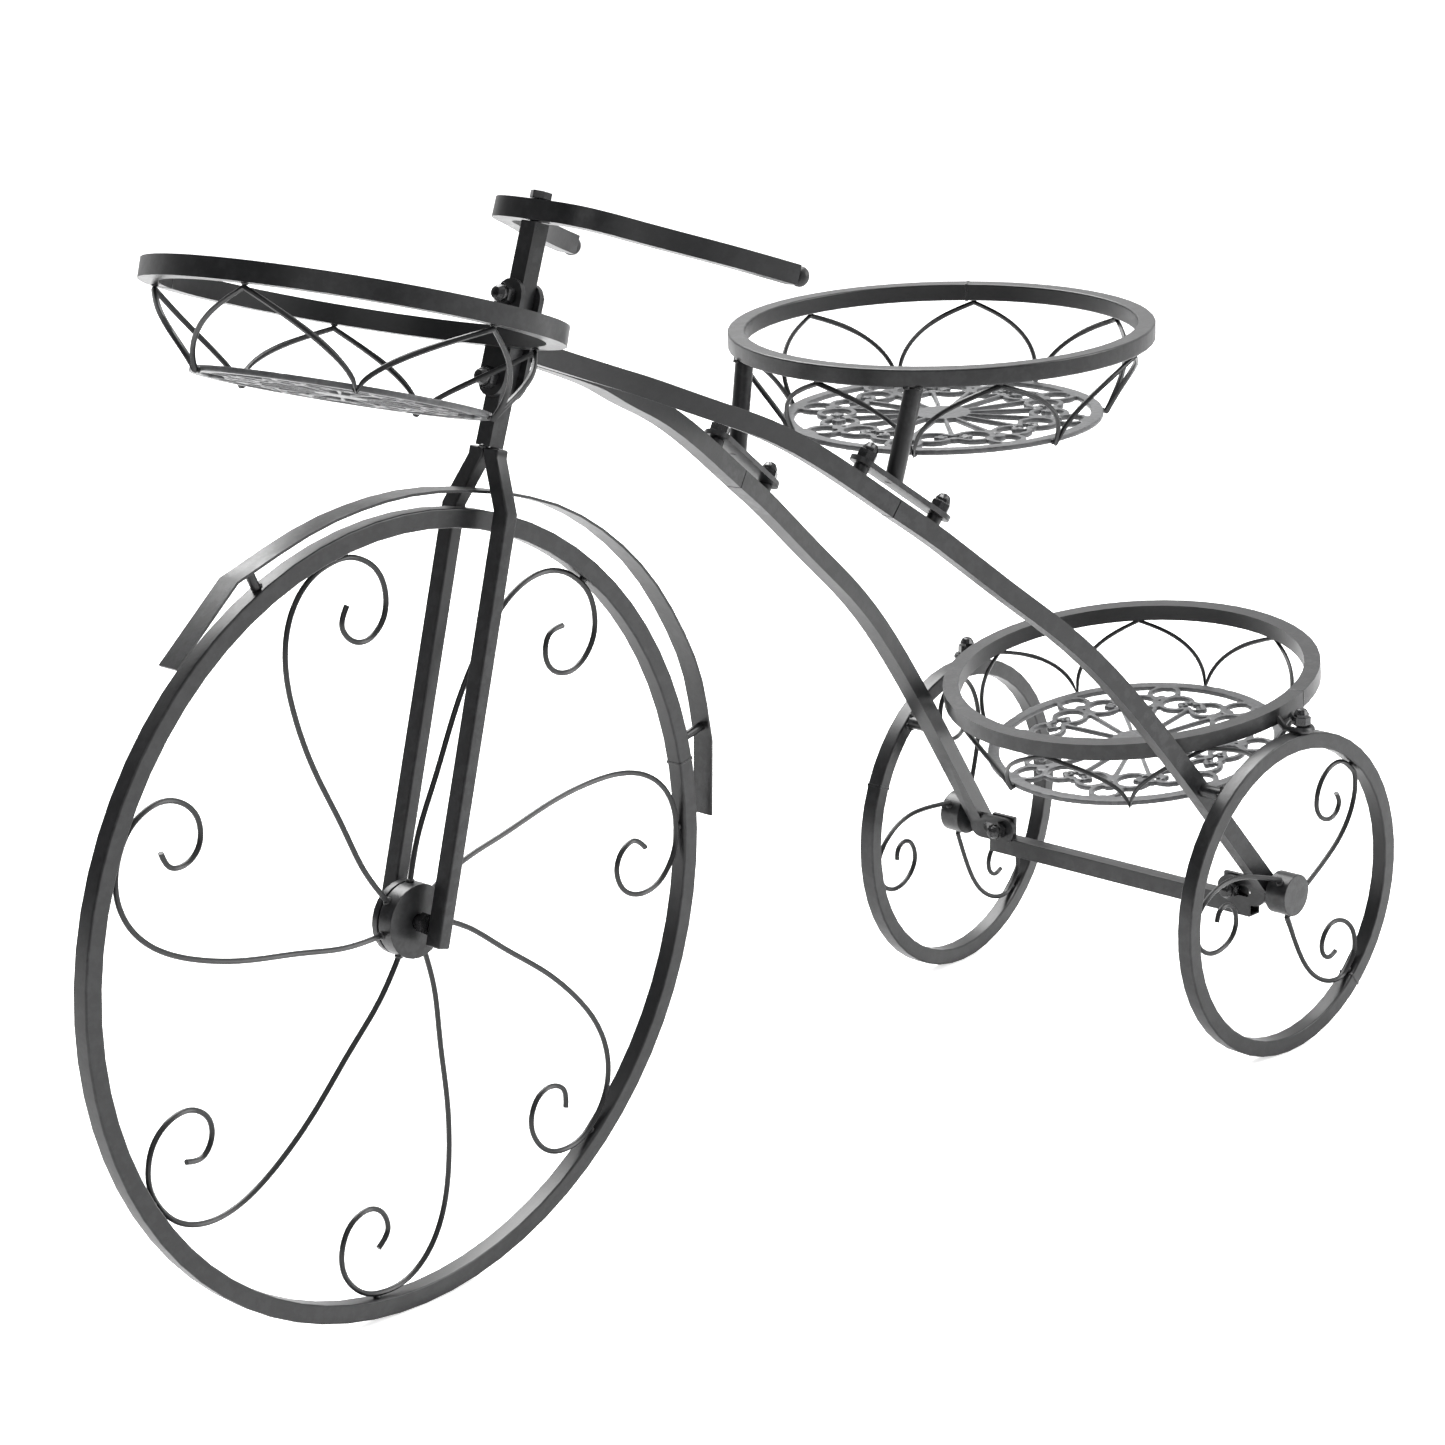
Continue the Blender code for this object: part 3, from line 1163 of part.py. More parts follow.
def build():
    clear_scene()
    stand = {"collection": make_collection(), "materials": make_materials()}
    stand["origin"] = add_empty(stand, "stand_origin", (-STAND_CENTRE_X, 0.0, 0.0), None)
    wheel_axis = add_empty(stand, "front_wheel_axis", (0.0, 0.0, FRONT_RADIUS), stand["origin"])
    swivel_axis = add_empty(stand, "handlebar_axis", stem_point(STEM_LENGTH), stand["origin"])
    front_wheel(stand, wheel_axis)
    fender(stand, wheel_axis)
    front_axle(stand)
    for side, label, angles in (
            (-1, "left", REAR_SCROLL_ANGLES_LEFT), (1, "right", REAR_SCROLL_ANGLES_RIGHT)):
        rear_wheel(stand, side, label, angles)
    nut = acorn_nut("acorn_nut")
    stem_and_fork(stand)
    clamp(stand, nut)
    handlebar(stand, swivel_axis)
    rails_and_legs(stand, nut)
    cross_bar(stand, nut)
    seat_posts(stand)
    ring = basket(stand, "seat", seat_frame(), MID_RING_RADIUS, MID_FLOOR_RADIUS,
                  MID_DROP, MID_ARCHES, MID_ARCH_TURN, MID_ARCH_BOW)
    add_piece(stand, ring, "basket_coat", stand["origin"])
    front_basket(stand)
    rear_basket(stand)
    for side, label in ((-1, "left"), (1, "right")):
        seat = ear_spot(side, (GAP + EAR_WIRE_RADIUS) * 2)
        place_nut(stand, f"ear_nut_{label}", nut, seat, (0.0, 0.0, 1.0))


build()
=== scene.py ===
import json
import math
from contextlib import contextmanager

import bpy
from mathutils import Matrix, Vector
from mathutils.bvhtree import BVHTree


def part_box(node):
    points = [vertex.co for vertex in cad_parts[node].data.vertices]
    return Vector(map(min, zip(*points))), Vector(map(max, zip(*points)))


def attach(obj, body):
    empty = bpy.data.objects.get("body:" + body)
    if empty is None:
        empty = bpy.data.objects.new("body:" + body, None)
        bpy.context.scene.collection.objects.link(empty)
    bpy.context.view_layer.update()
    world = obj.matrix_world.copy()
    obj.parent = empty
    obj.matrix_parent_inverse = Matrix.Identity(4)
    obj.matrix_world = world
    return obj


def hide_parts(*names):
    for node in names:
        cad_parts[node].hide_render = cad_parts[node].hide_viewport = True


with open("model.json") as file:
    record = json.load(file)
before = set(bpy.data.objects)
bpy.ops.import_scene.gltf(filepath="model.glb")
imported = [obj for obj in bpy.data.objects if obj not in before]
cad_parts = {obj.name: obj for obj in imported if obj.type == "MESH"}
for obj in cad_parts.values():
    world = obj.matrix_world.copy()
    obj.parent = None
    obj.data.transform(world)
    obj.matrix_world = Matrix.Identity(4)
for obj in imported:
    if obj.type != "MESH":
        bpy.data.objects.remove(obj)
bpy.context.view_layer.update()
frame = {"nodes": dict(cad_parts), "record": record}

bl_info = {
    "name": "Tricycle plant stand finish",
    "version": (1, 0, 0),
    "blender": (4, 5, 0),
    "location": "3D View > Sidebar > Plant stand",
    "description": "Rounds, welds, coats and lights a steel tricycle plant stand",
    "category": "Object",
}

MM = 0.001
NODES = frame["nodes"]
BODIES = frame["record"]["behaviour"]["bodies"]
BODY_OF = {node: body for body, nodes in BODIES.items() for node in nodes}
SLOT_OF = {entry["node"]: entry["material_slot"] for entry in frame["record"]["subparts"]}

# Basket floors: node, the way its top faces and the middle of its top
FLOOR_PLACES = {
    mount["name"].replace("_top", ""): (Vector(mount["axis"]), Vector(mount["pos_m"]))
    for mount in frame["record"]["mounts"]
}

# Kinds of node by words in their names, in the order they are looked for; all others are square tubes
KINDS = (
    ("hardware", ("nut", "bolt", "axle", "hub")),
    ("wire", ("scroll", "arches")),
    ("plug", ("grip",)),
    ("floor", ("floor",)),
    ("sheet", ("fender", "plate", "post")),
)

# Edge rounding by kind: width, which wires lack, segments and the least angle in degrees of a rounded edge
ROUNDING = {
    "square tube": (1.1 * MM, 3, 50.0),
    "sheet": (0.45 * MM, 2, 50.0),
    "wire": (0.0, 1, 60.0),
    "hardware": (0.5 * MM, 2, 32.0),
}

# Copies of nodes: merging distance, and in degrees the flat angle and how far smoothing stays below rounding
MERGE_NEAR = 0.002 * MM
FLAT_ANGLE = 0.4
SMOOTH_BELOW = 8.0

# Wires: least angle in degrees of a cut end's edge, and how far a pointed bend reaches in height
WIRE_END_ANGLE = 60.0
BEND_REACH = 4.6 * MM

# Weld beads: word of the welded node, word of its base, bead radius, reach and least spacing
WELDS = (
    ("scroll", "rim", 2.3 * MM, 1.0 * MM, 30 * MM),
    ("scroll", "hub", 2.4 * MM, 1.0 * MM, 12 * MM),
    ("arches", "ring", 1.9 * MM, 0.9 * MM, 7 * MM),
    ("arches", "floor", 1.7 * MM, 0.9 * MM, 7 * MM),
    ("fork", "stem", 2.2 * MM, 0.9 * MM, 6 * MM),
    ("seat_post", "seat_ring", 2.4 * MM, 0.9 * MM, 5 * MM),
    ("leg", "rear_rim", 2.2 * MM, 0.9 * MM, 5 * MM),
    ("rail", "head_plate", 1.9 * MM, 1.1 * MM, 4 * MM),
    ("fender", "front_rim", 2.0 * MM, 0.9 * MM, 5 * MM),
)
BEAD_SEEDS = (3, 11, 24)
BEAD_HEIGHT_SHARE = 0.62
BEAD_TURN = 1.7

# Handlebar end plugs: ball, its middle past the tube's mouth, and how near the tube's end is looked for
BALL_RADIUS = 6.7 * MM
BALL_AHEAD = 2.4 * MM
TUBE_NEAR = 9 * MM

# Neck of an end plug: where it starts below the ball's middle, its shares of the ball and its rounding
NECK_START = -1.8 * MM
NECK_WIDTH_SHARE = 0.80
NECK_LENGTH_SHARE = 0.6
NECK_ROUNDING = 0.35 * MM

# Closing seams of the bent hoops: hoop node and the seam's turn about the hoop's middle in degrees
SEAMS = (
    ("front_rim", 11.0), ("rear_rim_left", -49.5), ("rear_rim_right", 160.0),
    ("seat_ring", 31.5), ("rear_ring", -80.0), ("front_ring", 120.0),
)

# Pierced floor: sectors, and the widths of its rim, middle disc and strips as shares of its radius
FLOOR_SECTORS = 8
FLOOR_RIM_SHARE = 0.078
FLOOR_DISC_SHARE = 0.175
FLOOR_STRIP_SHARE = 0.034

# Rings and discs of a sector: place along and across its middle line, and radius, as shares of the floor's
CURL_RING_SHARES = ((0.650, 0.128, 0.126), (0.650, -0.128, 0.126))
LEAF_DISC_SHARES = (
    (0.700, 0.0, 0.027), (0.604, 0.0, 0.027), (0.652, 0.046, 0.014), (0.652, -0.046, 0.014),
    (0.652, 0.100, 0.020), (0.652, -0.100, 0.020), (0.679, 0.074, 0.019), (0.625, 0.074, 0.019),
    (0.679, -0.074, 0.019), (0.625, -0.074, 0.019),
)
BORDER_RING_SHARES = ((0.822, 0.0, 0.116),)
BORDER_DISC_SHARES = (
    (0.606, 0.0, 0.034), (0.735, 0.0, 0.034), (0.940, 0.0, 0.044),
    (0.936, 0.055, 0.028), (0.936, -0.055, 0.028),
)

# Spokes of a sector: start, end, inner width and outer width, as shares of the floor's radius
MIDDLE_SPOKE_SHARES = (0.160, 0.580, 0.020, 0.030)
BORDER_SPOKE_SHARES = (0.160, 0.600, 0.020, 0.030)

# Circles of a floor: below which share of its radius a circle is small, and the sides of small and large ones
SMALL_CIRCLE_SHARE = 0.1
SMALL_CIRCLE_SIDES = 24
LARGE_CIRCLE_SIDES = 96

# Casting of a floor: half of a curl's opening in degrees, thickness, size of a voxel and share of faces kept
CURL_OPENING = 24.0
FLOOR_DEEP = 3.0 * MM
FLOOR_VOXEL = 0.70 * MM
FLOOR_FACES_SHARE = 0.30

# Marks of the coats and the studio's paper in cells per metre
GRAIN_CELLS = 1900.0
PEEL_CELLS = 520.0
SPECK_CELLS = 700.0
WEAR_AND_HIGHLIGHT_CELLS = 130.0
CLOUD_CELLS = 26.0
HAMMER_CELLS = 330.0
CAST_GRAIN_CELLS = 1700.0
CAST_WEAR_CELLS = 160.0
CAST_CLOUD_CELLS = 45.0
TURNING_CELLS = (300.0, 300.0, 2600.0)
FASTENER_CLOUD_CELLS = 160.0
SPARK_CELLS = 1500.0
PLUG_CLOUD_CELLS = 90.0
WELD_LUMP_CELLS = 620.0
PAPER_CELLS = 3.0

# Photographed camera: place in the row frame, turns in degrees, lens and sensor in millimetres
CAMERA_PLACE = Vector((-1.5011, -1.3513, 0.8326))
CAMERA_YAW = 47.574
CAMERA_PITCH = -15.885
CAMERA_ROLL = -0.351
CAMERA_LENS = 95.10
CAMERA_SENSOR = 36.0

# Studio floor: size, drop below the ground, paper tones, strength of its glow and the glow that others see
PAPER_SIZE = 80.0
PAPER_DROP = 0.0004
PAPER_DARK = (0.90, 0.90, 0.90, 1.0)
PAPER_PALE = (0.93, 0.93, 0.93, 1.0)
PAPER_GLOW = 0.66
PAPER_BOUNCE = (0.22, 0.22, 0.222, 1.0)

# Studio walls: brightest behind the object, at this turn in degrees to the right of the camera's view
BRIGHT_SIDE = 38.0
WHITE = (1.0, 1.0, 1.0, 1.0)

# Dark side of the walls as light and as mirrored in the coat, and over which directions it turns white
ROOM_DARK = (0.16, 0.16, 0.165, 1.0)
ROOM_TURN = (-0.40, 0.45)
MIRROR_DARK = (0.08, 0.081, 0.085, 1.0)
MIRROR_TURN = (-0.55, 0.35)

# Lamps: name, place, size in metres and power in watts, and the point that all are aimed at
LAMPS = (
    ("key_light", (1.5, -1.9, 1.9), 1.6, 46.0),
    ("fill_light", (-2.0, -1.2, 1.9), 1.8, 9.0),
    ("top_light", (0.5, 1.3, 2.5), 2.0, 120.0),
)
LAMP_AIM = Vector((0.0, 0.0, 0.3))


class Socket:
    """One shader socket that adds Math nodes when it is used in an expression."""

    def __init__(self, tree, output):
        self.tree = tree
        self.output = output

    def maths(self, operation, *values):
        """Add one Math node for values, sockets or both."""
        return self.tree.node("ShaderNodeMath", {"operation": operation}, dict(enumerate(values)))

    def __add__(self, other):
        return self.maths("ADD", self, other)

    def __radd__(self, other):
        return self.maths("ADD", other, self)

    def __sub__(self, other):
        return self.maths("SUBTRACT", self, other)

    def __rsub__(self, other):
        return self.maths("SUBTRACT", other, self)

    def __mul__(self, other):
        return self.maths("MULTIPLY", self, other)

    def __rmul__(self, other):
        return self.maths("MULTIPLY", other, self)

    def clamp(self):
        """Keep the value between 0 and 1."""
        return self.tree.node("ShaderNodeClamp", {}, {"Value": self})

    def swing(self, width):
        """Centre a noise on zero and give it a width."""
        return (self - 0.5) * width

    def above(self, low, high):
        """Rise smoothly from 0 at low to 1 at high."""
        values = {"Value": self, "From Min": low, "From Max": high}
        return self.tree.node("ShaderNodeMapRange", {"interpolation_type": "SMOOTHSTEP"}, values)


class Tree:
    """A material's or world's node tree, built by one method."""

    def __init__(self, owner):
        owner.use_nodes = True
        self.nodes = owner.node_tree.nodes
        self.links = owner.node_tree.links
        self.nodes.clear()

    def node(self, kind, settings, values, output=0):
        """Add one node: its settings first, then the values or links of its sockets."""
        made = self.nodes.new(kind)
        for name, value in settings.items():
            setattr(made, name, value)
        for name, value in values.items():
            if isinstance(value, Socket):
                self.links.new(value.output, made.inputs[name])
            else:
                made.inputs[name].default_value = value
        return Socket(self, made.outputs[output]) if made.outputs else None

    def noise(self, place, cells, detail=2.0, roughness=0.5):
        """Give a noise about 0.5 with so many cells per metre."""
        values = {"Vector": place, "Scale": cells, "Detail": detail, "Roughness": roughness}
        return self.node("ShaderNodeTexNoise", {}, values, "Fac")

    def blend(self, share, first, second):
        """Mix two colours, which a Mix node takes at its sockets 6 and 7 and gives at its output 2."""
        return self.node("ShaderNodeMix", {"data_type": "RGBA"}, {0: share, 6: first, 7: second}, 2)

    def cover(self, base, mask, share, colour):
        """Lay a colour over a base where a mask shows it, as strongly as a share says."""
        return self.blend(mask * share, base, colour)

    def place(self):
        """Give the point in the piece's own coordinates."""
        return self.node("ShaderNodeTexCoord", {}, {}, "Object")

    def edge(self):
        """Find raised edges by the surface's own pointiness."""
        return self.node("ShaderNodeNewGeometry", {}, {}, "Pointiness").above(0.505, 0.56)

    def shaded_hollows(self):
        """Find inner corners by the surface's own pointiness, where shade is painted into the coats."""
        return 1.0 - self.node("ShaderNodeNewGeometry", {}, {}, "Pointiness").above(0.44, 0.497)

    def upward(self):
        """Find faces that look up, where dust settles."""
        normal = self.node("ShaderNodeNewGeometry", {}, {}, "Normal")
        return self.node("ShaderNodeSeparateXYZ", {}, {"Vector": normal}, "Z").above(0.55, 1.0)

    def bump(self, height, strength, distance, under=None):
        """Raise the surface by a height, on top of another bump if one is given."""
        values = {"Height": height, "Strength": strength, "Distance": distance}
        if under:
            values["Normal"] = under
        return self.node("ShaderNodeBump", {}, values)

    def surface(self, **values):
        """Close a material with its shader and output."""
        values = {name.replace("_", " "): value for name, value in values.items()}
        shader = self.node("ShaderNodeBsdfPrincipled", {}, values)
        self.node("ShaderNodeOutputMaterial", {}, {"Surface": shader})


def shade(colour, share):
    """Make a colour lighter or darker by a share."""
    return tuple(min(channel * share, 1.0) for channel in colour[:3]) + (1.0,)


def powder_coat(name, colour, roughness, grain_depth):
    """Satin powder coat: fine orange peel, cloudy gloss, edges worn pale and brightened further as a painted
    highlight, painted shade in inner corners, dust on top.
    """
    material = bpy.data.materials.new(name)
    tree = Tree(material)
    place = tree.place()
    grain = tree.noise(place, GRAIN_CELLS, detail=2.0, roughness=0.55)
    peel = tree.noise(place, PEEL_CELLS, detail=1.0, roughness=0.4)
    cloud = tree.noise(place, CLOUD_CELLS, detail=3.0, roughness=0.6)
    speck = tree.noise(place, SPECK_CELLS, detail=0.0).above(0.70, 0.76)
    worn_and_highlit = tree.edge() * tree.noise(place, WEAR_AND_HIGHLIGHT_CELLS, detail=3.0, roughness=0.7).above(0.42, 0.62)
    dust = tree.upward() * cloud.above(0.42, 0.75)
    base = tree.blend(cloud, shade(colour, 0.93), shade(colour, 1.07))
    base = tree.cover(base, grain.above(0.35, 0.7), 0.25, shade(colour, 1.45))
    base = tree.cover(base, speck, 0.20, shade(colour, 1.9))
    # Edges lightened: partly real wear, partly a painted highlight along the tube edges
    base = tree.cover(base, worn_and_highlit, 0.35, shade(colour, 4.5))
    # Painted shade: inner corners darkened
    base = tree.cover(base, tree.shaded_hollows(), 0.5, shade(colour, 0.5))
    base = tree.cover(base, dust, 0.02, (0.32, 0.31, 0.29, 1.0))
    gloss = roughness + cloud.swing(0.05) + grain.swing(0.10) + dust * 0.04 - worn_and_highlit * 0.05
    under = tree.bump(peel, strength=0.5, distance=grain_depth)
    normal = tree.bump(grain, strength=0.35, distance=grain_depth * 0.6, under=under)
    tree.surface(Base_Color=base, Roughness=gloss.clamp(), Normal=normal, IOR=1.5)
    return material


def hammered_coat(name, colour, roughness, grain_depth):
    """Coated cast sheet: shallow hammer marks under the same coat, worn pale on its edges, with painted shade
    darkening its inner corners.
    """
    material = bpy.data.materials.new(name)
    tree = Tree(material)
    place = tree.place()
    marks = tree.node("ShaderNodeTexVoronoi", {"feature": "SMOOTH_F1"},
                      {"Vector": place, "Scale": HAMMER_CELLS, "Smoothness": 0.6}, "Distance")
    grain = tree.noise(place, CAST_GRAIN_CELLS, detail=2.0, roughness=0.55)
    cloud = tree.noise(place, CAST_CLOUD_CELLS, detail=3.0, roughness=0.6)
    worn = tree.edge() * tree.noise(place, CAST_WEAR_CELLS, detail=3.0, roughness=0.7).above(0.38, 0.6)
    base = tree.blend(cloud, shade(colour, 0.80), shade(colour, 1.2))
    base = tree.cover(base, marks.above(0.1, 0.7), 0.35, shade(colour, 1.7))
    base = tree.cover(base, worn, 0.5, shade(colour, 2.4))
    # Painted shade: inner corners darkened
    base = tree.cover(base, tree.shaded_hollows(), 0.55, shade(colour, 0.45))
    gloss = roughness + cloud.swing(0.14) + grain.swing(0.10) - worn * 0.06
    under = tree.bump(marks, strength=0.7, distance=grain_depth * 3.0)
    normal = tree.bump(grain, strength=0.3, distance=grain_depth * 0.5, under=under)
    tree.surface(Base_Color=base, Roughness=gloss.clamp(), Normal=normal, IOR=1.5)
    return material


def fastener_finish(name, colour, roughness, grain_depth):
    """Blackened steel hardware: glossy, with fine turning scratches and worn corners."""
    material = bpy.data.materials.new(name)
    tree = Tree(material)
    place = tree.place()
    stretch = tree.node("ShaderNodeMapping", {}, {"Vector": place, "Scale": TURNING_CELLS})
    scratch = tree.noise(stretch, 1.0, detail=2.0, roughness=0.6)
    cloud = tree.noise(place, FASTENER_CLOUD_CELLS, detail=3.0, roughness=0.6)
    worn = tree.edge() * cloud.above(0.40, 0.62)
    base = tree.blend(cloud, shade(colour, 0.8), shade(colour, 1.2))
    base = tree.cover(base, worn, 0.25, (0.12, 0.12, 0.125, 1.0))
    gloss = roughness + scratch.swing(0.10) + cloud.swing(0.08)
    normal = tree.bump(scratch, strength=0.25, distance=grain_depth * 0.5)
    tree.surface(Base_Color=base, Roughness=gloss.clamp(), Normal=normal, Metallic=worn * 0.4, IOR=1.6)
    return material


def moulded_black(name, colour, roughness, grain_depth):
    """Moulded end plug: soft black with a fine spark texture."""
    material = bpy.data.materials.new(name)
    tree = Tree(material)
    place = tree.place()
    spark = tree.noise(place, SPARK_CELLS, detail=3.0, roughness=0.6)
    cloud = tree.noise(place, PLUG_CLOUD_CELLS)
    base = tree.blend(cloud, shade(colour, 0.8), shade(colour, 1.3))
    base = tree.cover(base, spark.above(0.5, 0.75), 0.3, shade(colour, 2.2))
    gloss = roughness + spark.swing(0.2)
    normal = tree.bump(spark, strength=0.5, distance=grain_depth)
    tree.surface(Base_Color=base, Roughness=gloss.clamp(), Normal=normal)
    return material


def weld_coat(name, colour, roughness, grain_depth):
    """Coat over a weld: darker, lumpier and a little glossier than the flat tube."""
    material = bpy.data.materials.new(name)
    tree = Tree(material)
    place = tree.place()
    lump = tree.noise(place, WELD_LUMP_CELLS, detail=3.0, roughness=0.6)
    grain = tree.noise(place, GRAIN_CELLS, detail=1.0)
    base = tree.blend(lump, shade(colour, 0.35), shade(colour, 0.9))
    base = tree.cover(base, tree.edge(), 0.3, shade(colour, 1.8))
    gloss = roughness - 0.04 + lump.swing(0.22)
    under = tree.bump(lump, strength=0.8, distance=grain_depth * 4.0)
    normal = tree.bump(grain, strength=0.3, distance=grain_depth * 0.5, under=under)
    tree.surface(Base_Color=base, Roughness=gloss.clamp(), Normal=normal)
    return material


# Finishes by slot, and one for welds: maker, and the panel's colour and roughness that it takes
FINISHES = {
    "frame_coat": (powder_coat, "coat_colour", "coat_roughness"),
    "basket_coat": (powder_coat, "coat_colour", "coat_roughness"),
    "floor_coat": (hammered_coat, "floor_colour", "floor_roughness"),
    "fastener_black": (fastener_finish, "fastener_colour", "fastener_roughness"),
    "grip_black": (moulded_black, "grip_colour", "grip_roughness"),
    "weld_coat": (weld_coat, "coat_colour", "coat_roughness"),
}


def finish(slot):
    """Give the finish of one material slot, made once from the panel's values."""
    name = slot + "_finish"
    made = bpy.data.materials.get(name)
    if made:
        return made
    looks = bpy.context.scene.stand_looks
    maker, colour, roughness = FINISHES[slot]
    return maker(name, tuple(getattr(looks, colour)), getattr(looks, roughness), looks.grain_depth)


def only(piece):
    """Deselect everything and make one piece active and selected."""
    bpy.ops.object.select_all(action="DESELECT")
    piece.select_set(True)
    bpy.context.view_layer.objects.active = piece


@contextmanager
def editing(action=None):
    """Work on the active piece in edit mode, with all or none of it selected first if an action says so."""
    bpy.ops.object.mode_set(mode="EDIT")
    if action:
        bpy.ops.mesh.select_all(action=action)
    yield
    bpy.ops.object.mode_set(mode="OBJECT")


def in_scene(name, mesh):
    """Put a mesh in the scene as a new piece."""
    piece = bpy.data.objects.new(name, mesh)
    bpy.context.scene.collection.objects.link(piece)
    return piece


def apply_modifier(piece, kind, **settings):
    """Add a modifier with its settings and apply it."""
    modifier = piece.modifiers.new(kind.lower(), kind)
    for name, value in settings.items():
        setattr(modifier, name, value)
    only(piece)
    bpy.ops.object.modifier_apply(modifier=modifier.name)


def round_edges(piece, width, segments, angle):
    """Round the edges that turn by more than an angle in degrees."""
    apply_modifier(piece, "BEVEL", width=width, segments=segments, limit_method="ANGLE",
                   angle_limit=math.radians(angle))


def joined(pieces, name):
    """Join pieces into the first one, with its place in its mesh."""
    only(pieces[0])
    for piece in pieces:
        piece.select_set(True)
    if len(pieces) > 1:
        bpy.ops.object.join()
    bpy.ops.object.transform_apply(location=True, rotation=True, scale=True)
    result = bpy.context.active_object
    result.name = name
    return result


def wear_finish(piece, slot, node):
    """Give a finished piece its material, its slot and the body that its node moves with."""
    piece.data.materials.clear()
    piece.data.materials.append(finish(slot))
    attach(piece, BODY_OF[node])


def stand_for(piece, node):
    """Coat a piece, stand it in its node's place and coat the plain node below it too."""
    wear_finish(piece, SLOT_OF[node], node)
    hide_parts(node)
    NODES[node].data.materials.clear()
    NODES[node].data.materials.append(finish(SLOT_OF[node]))


def kind_of(node):
    """Name the kind of a node by the first of the known words in its name."""
    for kind, words in KINDS:
        if any(word in node for word in words):
            return kind
    return "square tube"


def copy_of_node(node, name):
    """Copy a node's mesh, merge its loose triangles and clear its stored normals."""
    piece = in_scene(name, NODES[node].data.copy())
    only(piece)
    bpy.ops.mesh.customdata_custom_splitnormals_clear()
    with editing("SELECT"):
        bpy.ops.mesh.remove_doubles(threshold=MERGE_NEAR)
    return piece


def smooth_wire(piece, node):
    """Round a wire's faceted skin and keep its cut ends and the arches' pointed bends sharp."""
    with editing("SELECT"):
        bpy.ops.mesh.tris_convert_to_quads()
        bpy.ops.mesh.select_all(action="DESELECT")
        bpy.ops.mesh.select_mode(type="EDGE")
        bpy.ops.mesh.edges_select_sharp(sharpness=math.radians(WIRE_END_ANGLE))
        bpy.ops.transform.edge_crease(value=1.0)
        bpy.ops.mesh.select_mode(type="VERT")
        bpy.ops.mesh.select_all(action="DESELECT")
    if "arches" in node:
        facing, middle = FLOOR_PLACES[node.replace("arches", "floor")]
        heights = [(vertex.co - middle).dot(facing) for vertex in piece.data.vertices]
        low = min(heights) + BEND_REACH
        high = max(heights) - BEND_REACH
        for vertex, height in zip(piece.data.vertices, heights):
            vertex.select = height < low or height > high
        with editing():
            bpy.ops.transform.edge_crease(value=1.0)
    apply_modifier(piece, "SUBSURF", levels=2, render_levels=2)


def rounded_piece(node, width, segments, angle):
    """Stand a round-edged, smoothly shaded copy in a node's place."""
    piece = copy_of_node(node, node + "_coated")
    with editing("SELECT"):
        bpy.ops.mesh.dissolve_limited(angle_limit=math.radians(FLAT_ANGLE))
    if kind_of(node) == "wire":
        smooth_wire(piece, node)
    if width:
        round_edges(piece, width, segments, angle)
    only(piece)
    bpy.ops.object.shade_smooth_by_angle(angle=math.radians(angle - SMOOTH_BELOW))
    apply_modifier(piece, "WEIGHTED_NORMAL", mode="FACE_AREA", keep_sharp=True)
    stand_for(piece, node)


def finish_kind(kind):
    """Round and coat every node of one kind."""
    for node in sorted(NODES):
        if kind_of(node) == kind:
            rounded_piece(node, *ROUNDING[kind])


def end_plug(node):
    """Turn one end plug: a ball with a waisted neck, seated in the tube's end."""
    points = [vertex.co for vertex in NODES[node].data.vertices]
    middle = sum(points, Vector()) / len(points)
    tube = [v.co for v in NODES["handlebar"].data.vertices if (v.co - middle).length < TUBE_NEAR]
    outward = (middle - sum(tube, Vector()) / len(tube)).normalized()
    mouth = max((point - middle).dot(outward) for point in tube)
    bpy.ops.object.select_all(action="DESELECT")
    bpy.ops.mesh.primitive_uv_sphere_add(segments=40, ring_count=26, radius=BALL_RADIUS,
                                         location=(0.0, 0.0, 0.0))
    piece = bpy.context.active_object
    piece.name = node + "_turned"
    mesh = piece.data
    for face in mesh.polygons:
        face.select = face.center.z < NECK_START
    shares = (NECK_WIDTH_SHARE, NECK_WIDTH_SHARE, NECK_LENGTH_SHARE)
    with editing():
        bpy.ops.mesh.select_mode(type="FACE")
        bpy.ops.transform.resize(value=shares, center_override=(0.0, 0.0, NECK_START))
        bpy.ops.mesh.select_mode(type="VERT")
    round_edges(piece, NECK_ROUNDING, segments=2, angle=30.0)
    seat = middle + outward * (mouth + BALL_AHEAD)
    mesh.transform(Matrix.Translation(seat) @ outward.to_track_quat("Z", "Y").to_matrix().to_4x4())
    only(piece)
    bpy.ops.object.shade_smooth_by_angle(angle=math.radians(40.0))
    stand_for(piece, node)


def flat_disc(radius, shares):
    """Add a flat disc of the floor's pattern from the shares of its place and radius."""
    along, across, size = shares
    sides = SMALL_CIRCLE_SIDES if size < SMALL_CIRCLE_SHARE else LARGE_CIRCLE_SIDES
    bpy.ops.object.select_all(action="DESELECT")
    bpy.ops.mesh.primitive_circle_add(vertices=sides, radius=size * radius, fill_type="NGON",
                                      location=(along * radius, across * radius, 0.0))
    return bpy.context.active_object


def flat_ring(radius, shares, strip_share, opening=0.0):
    """Add a flat ring of the floor's pattern, left open by an angle on the side of the middle line."""
    ring = flat_disc(radius, shares)
    with editing("SELECT"):
        bpy.ops.mesh.inset(thickness=strip_share * radius)
        bpy.ops.mesh.delete(type="FACE")
        bpy.ops.mesh.select_all(action="DESELECT")
    if opening:
        inward = Vector((0.0, -math.copysign(1.0, shares[1]), 0.0))
        for face in ring.data.polygons:
            face.select = face.center.angle(inward) < math.radians(opening)
        with editing():
            bpy.ops.mesh.delete(type="FACE")
    return ring


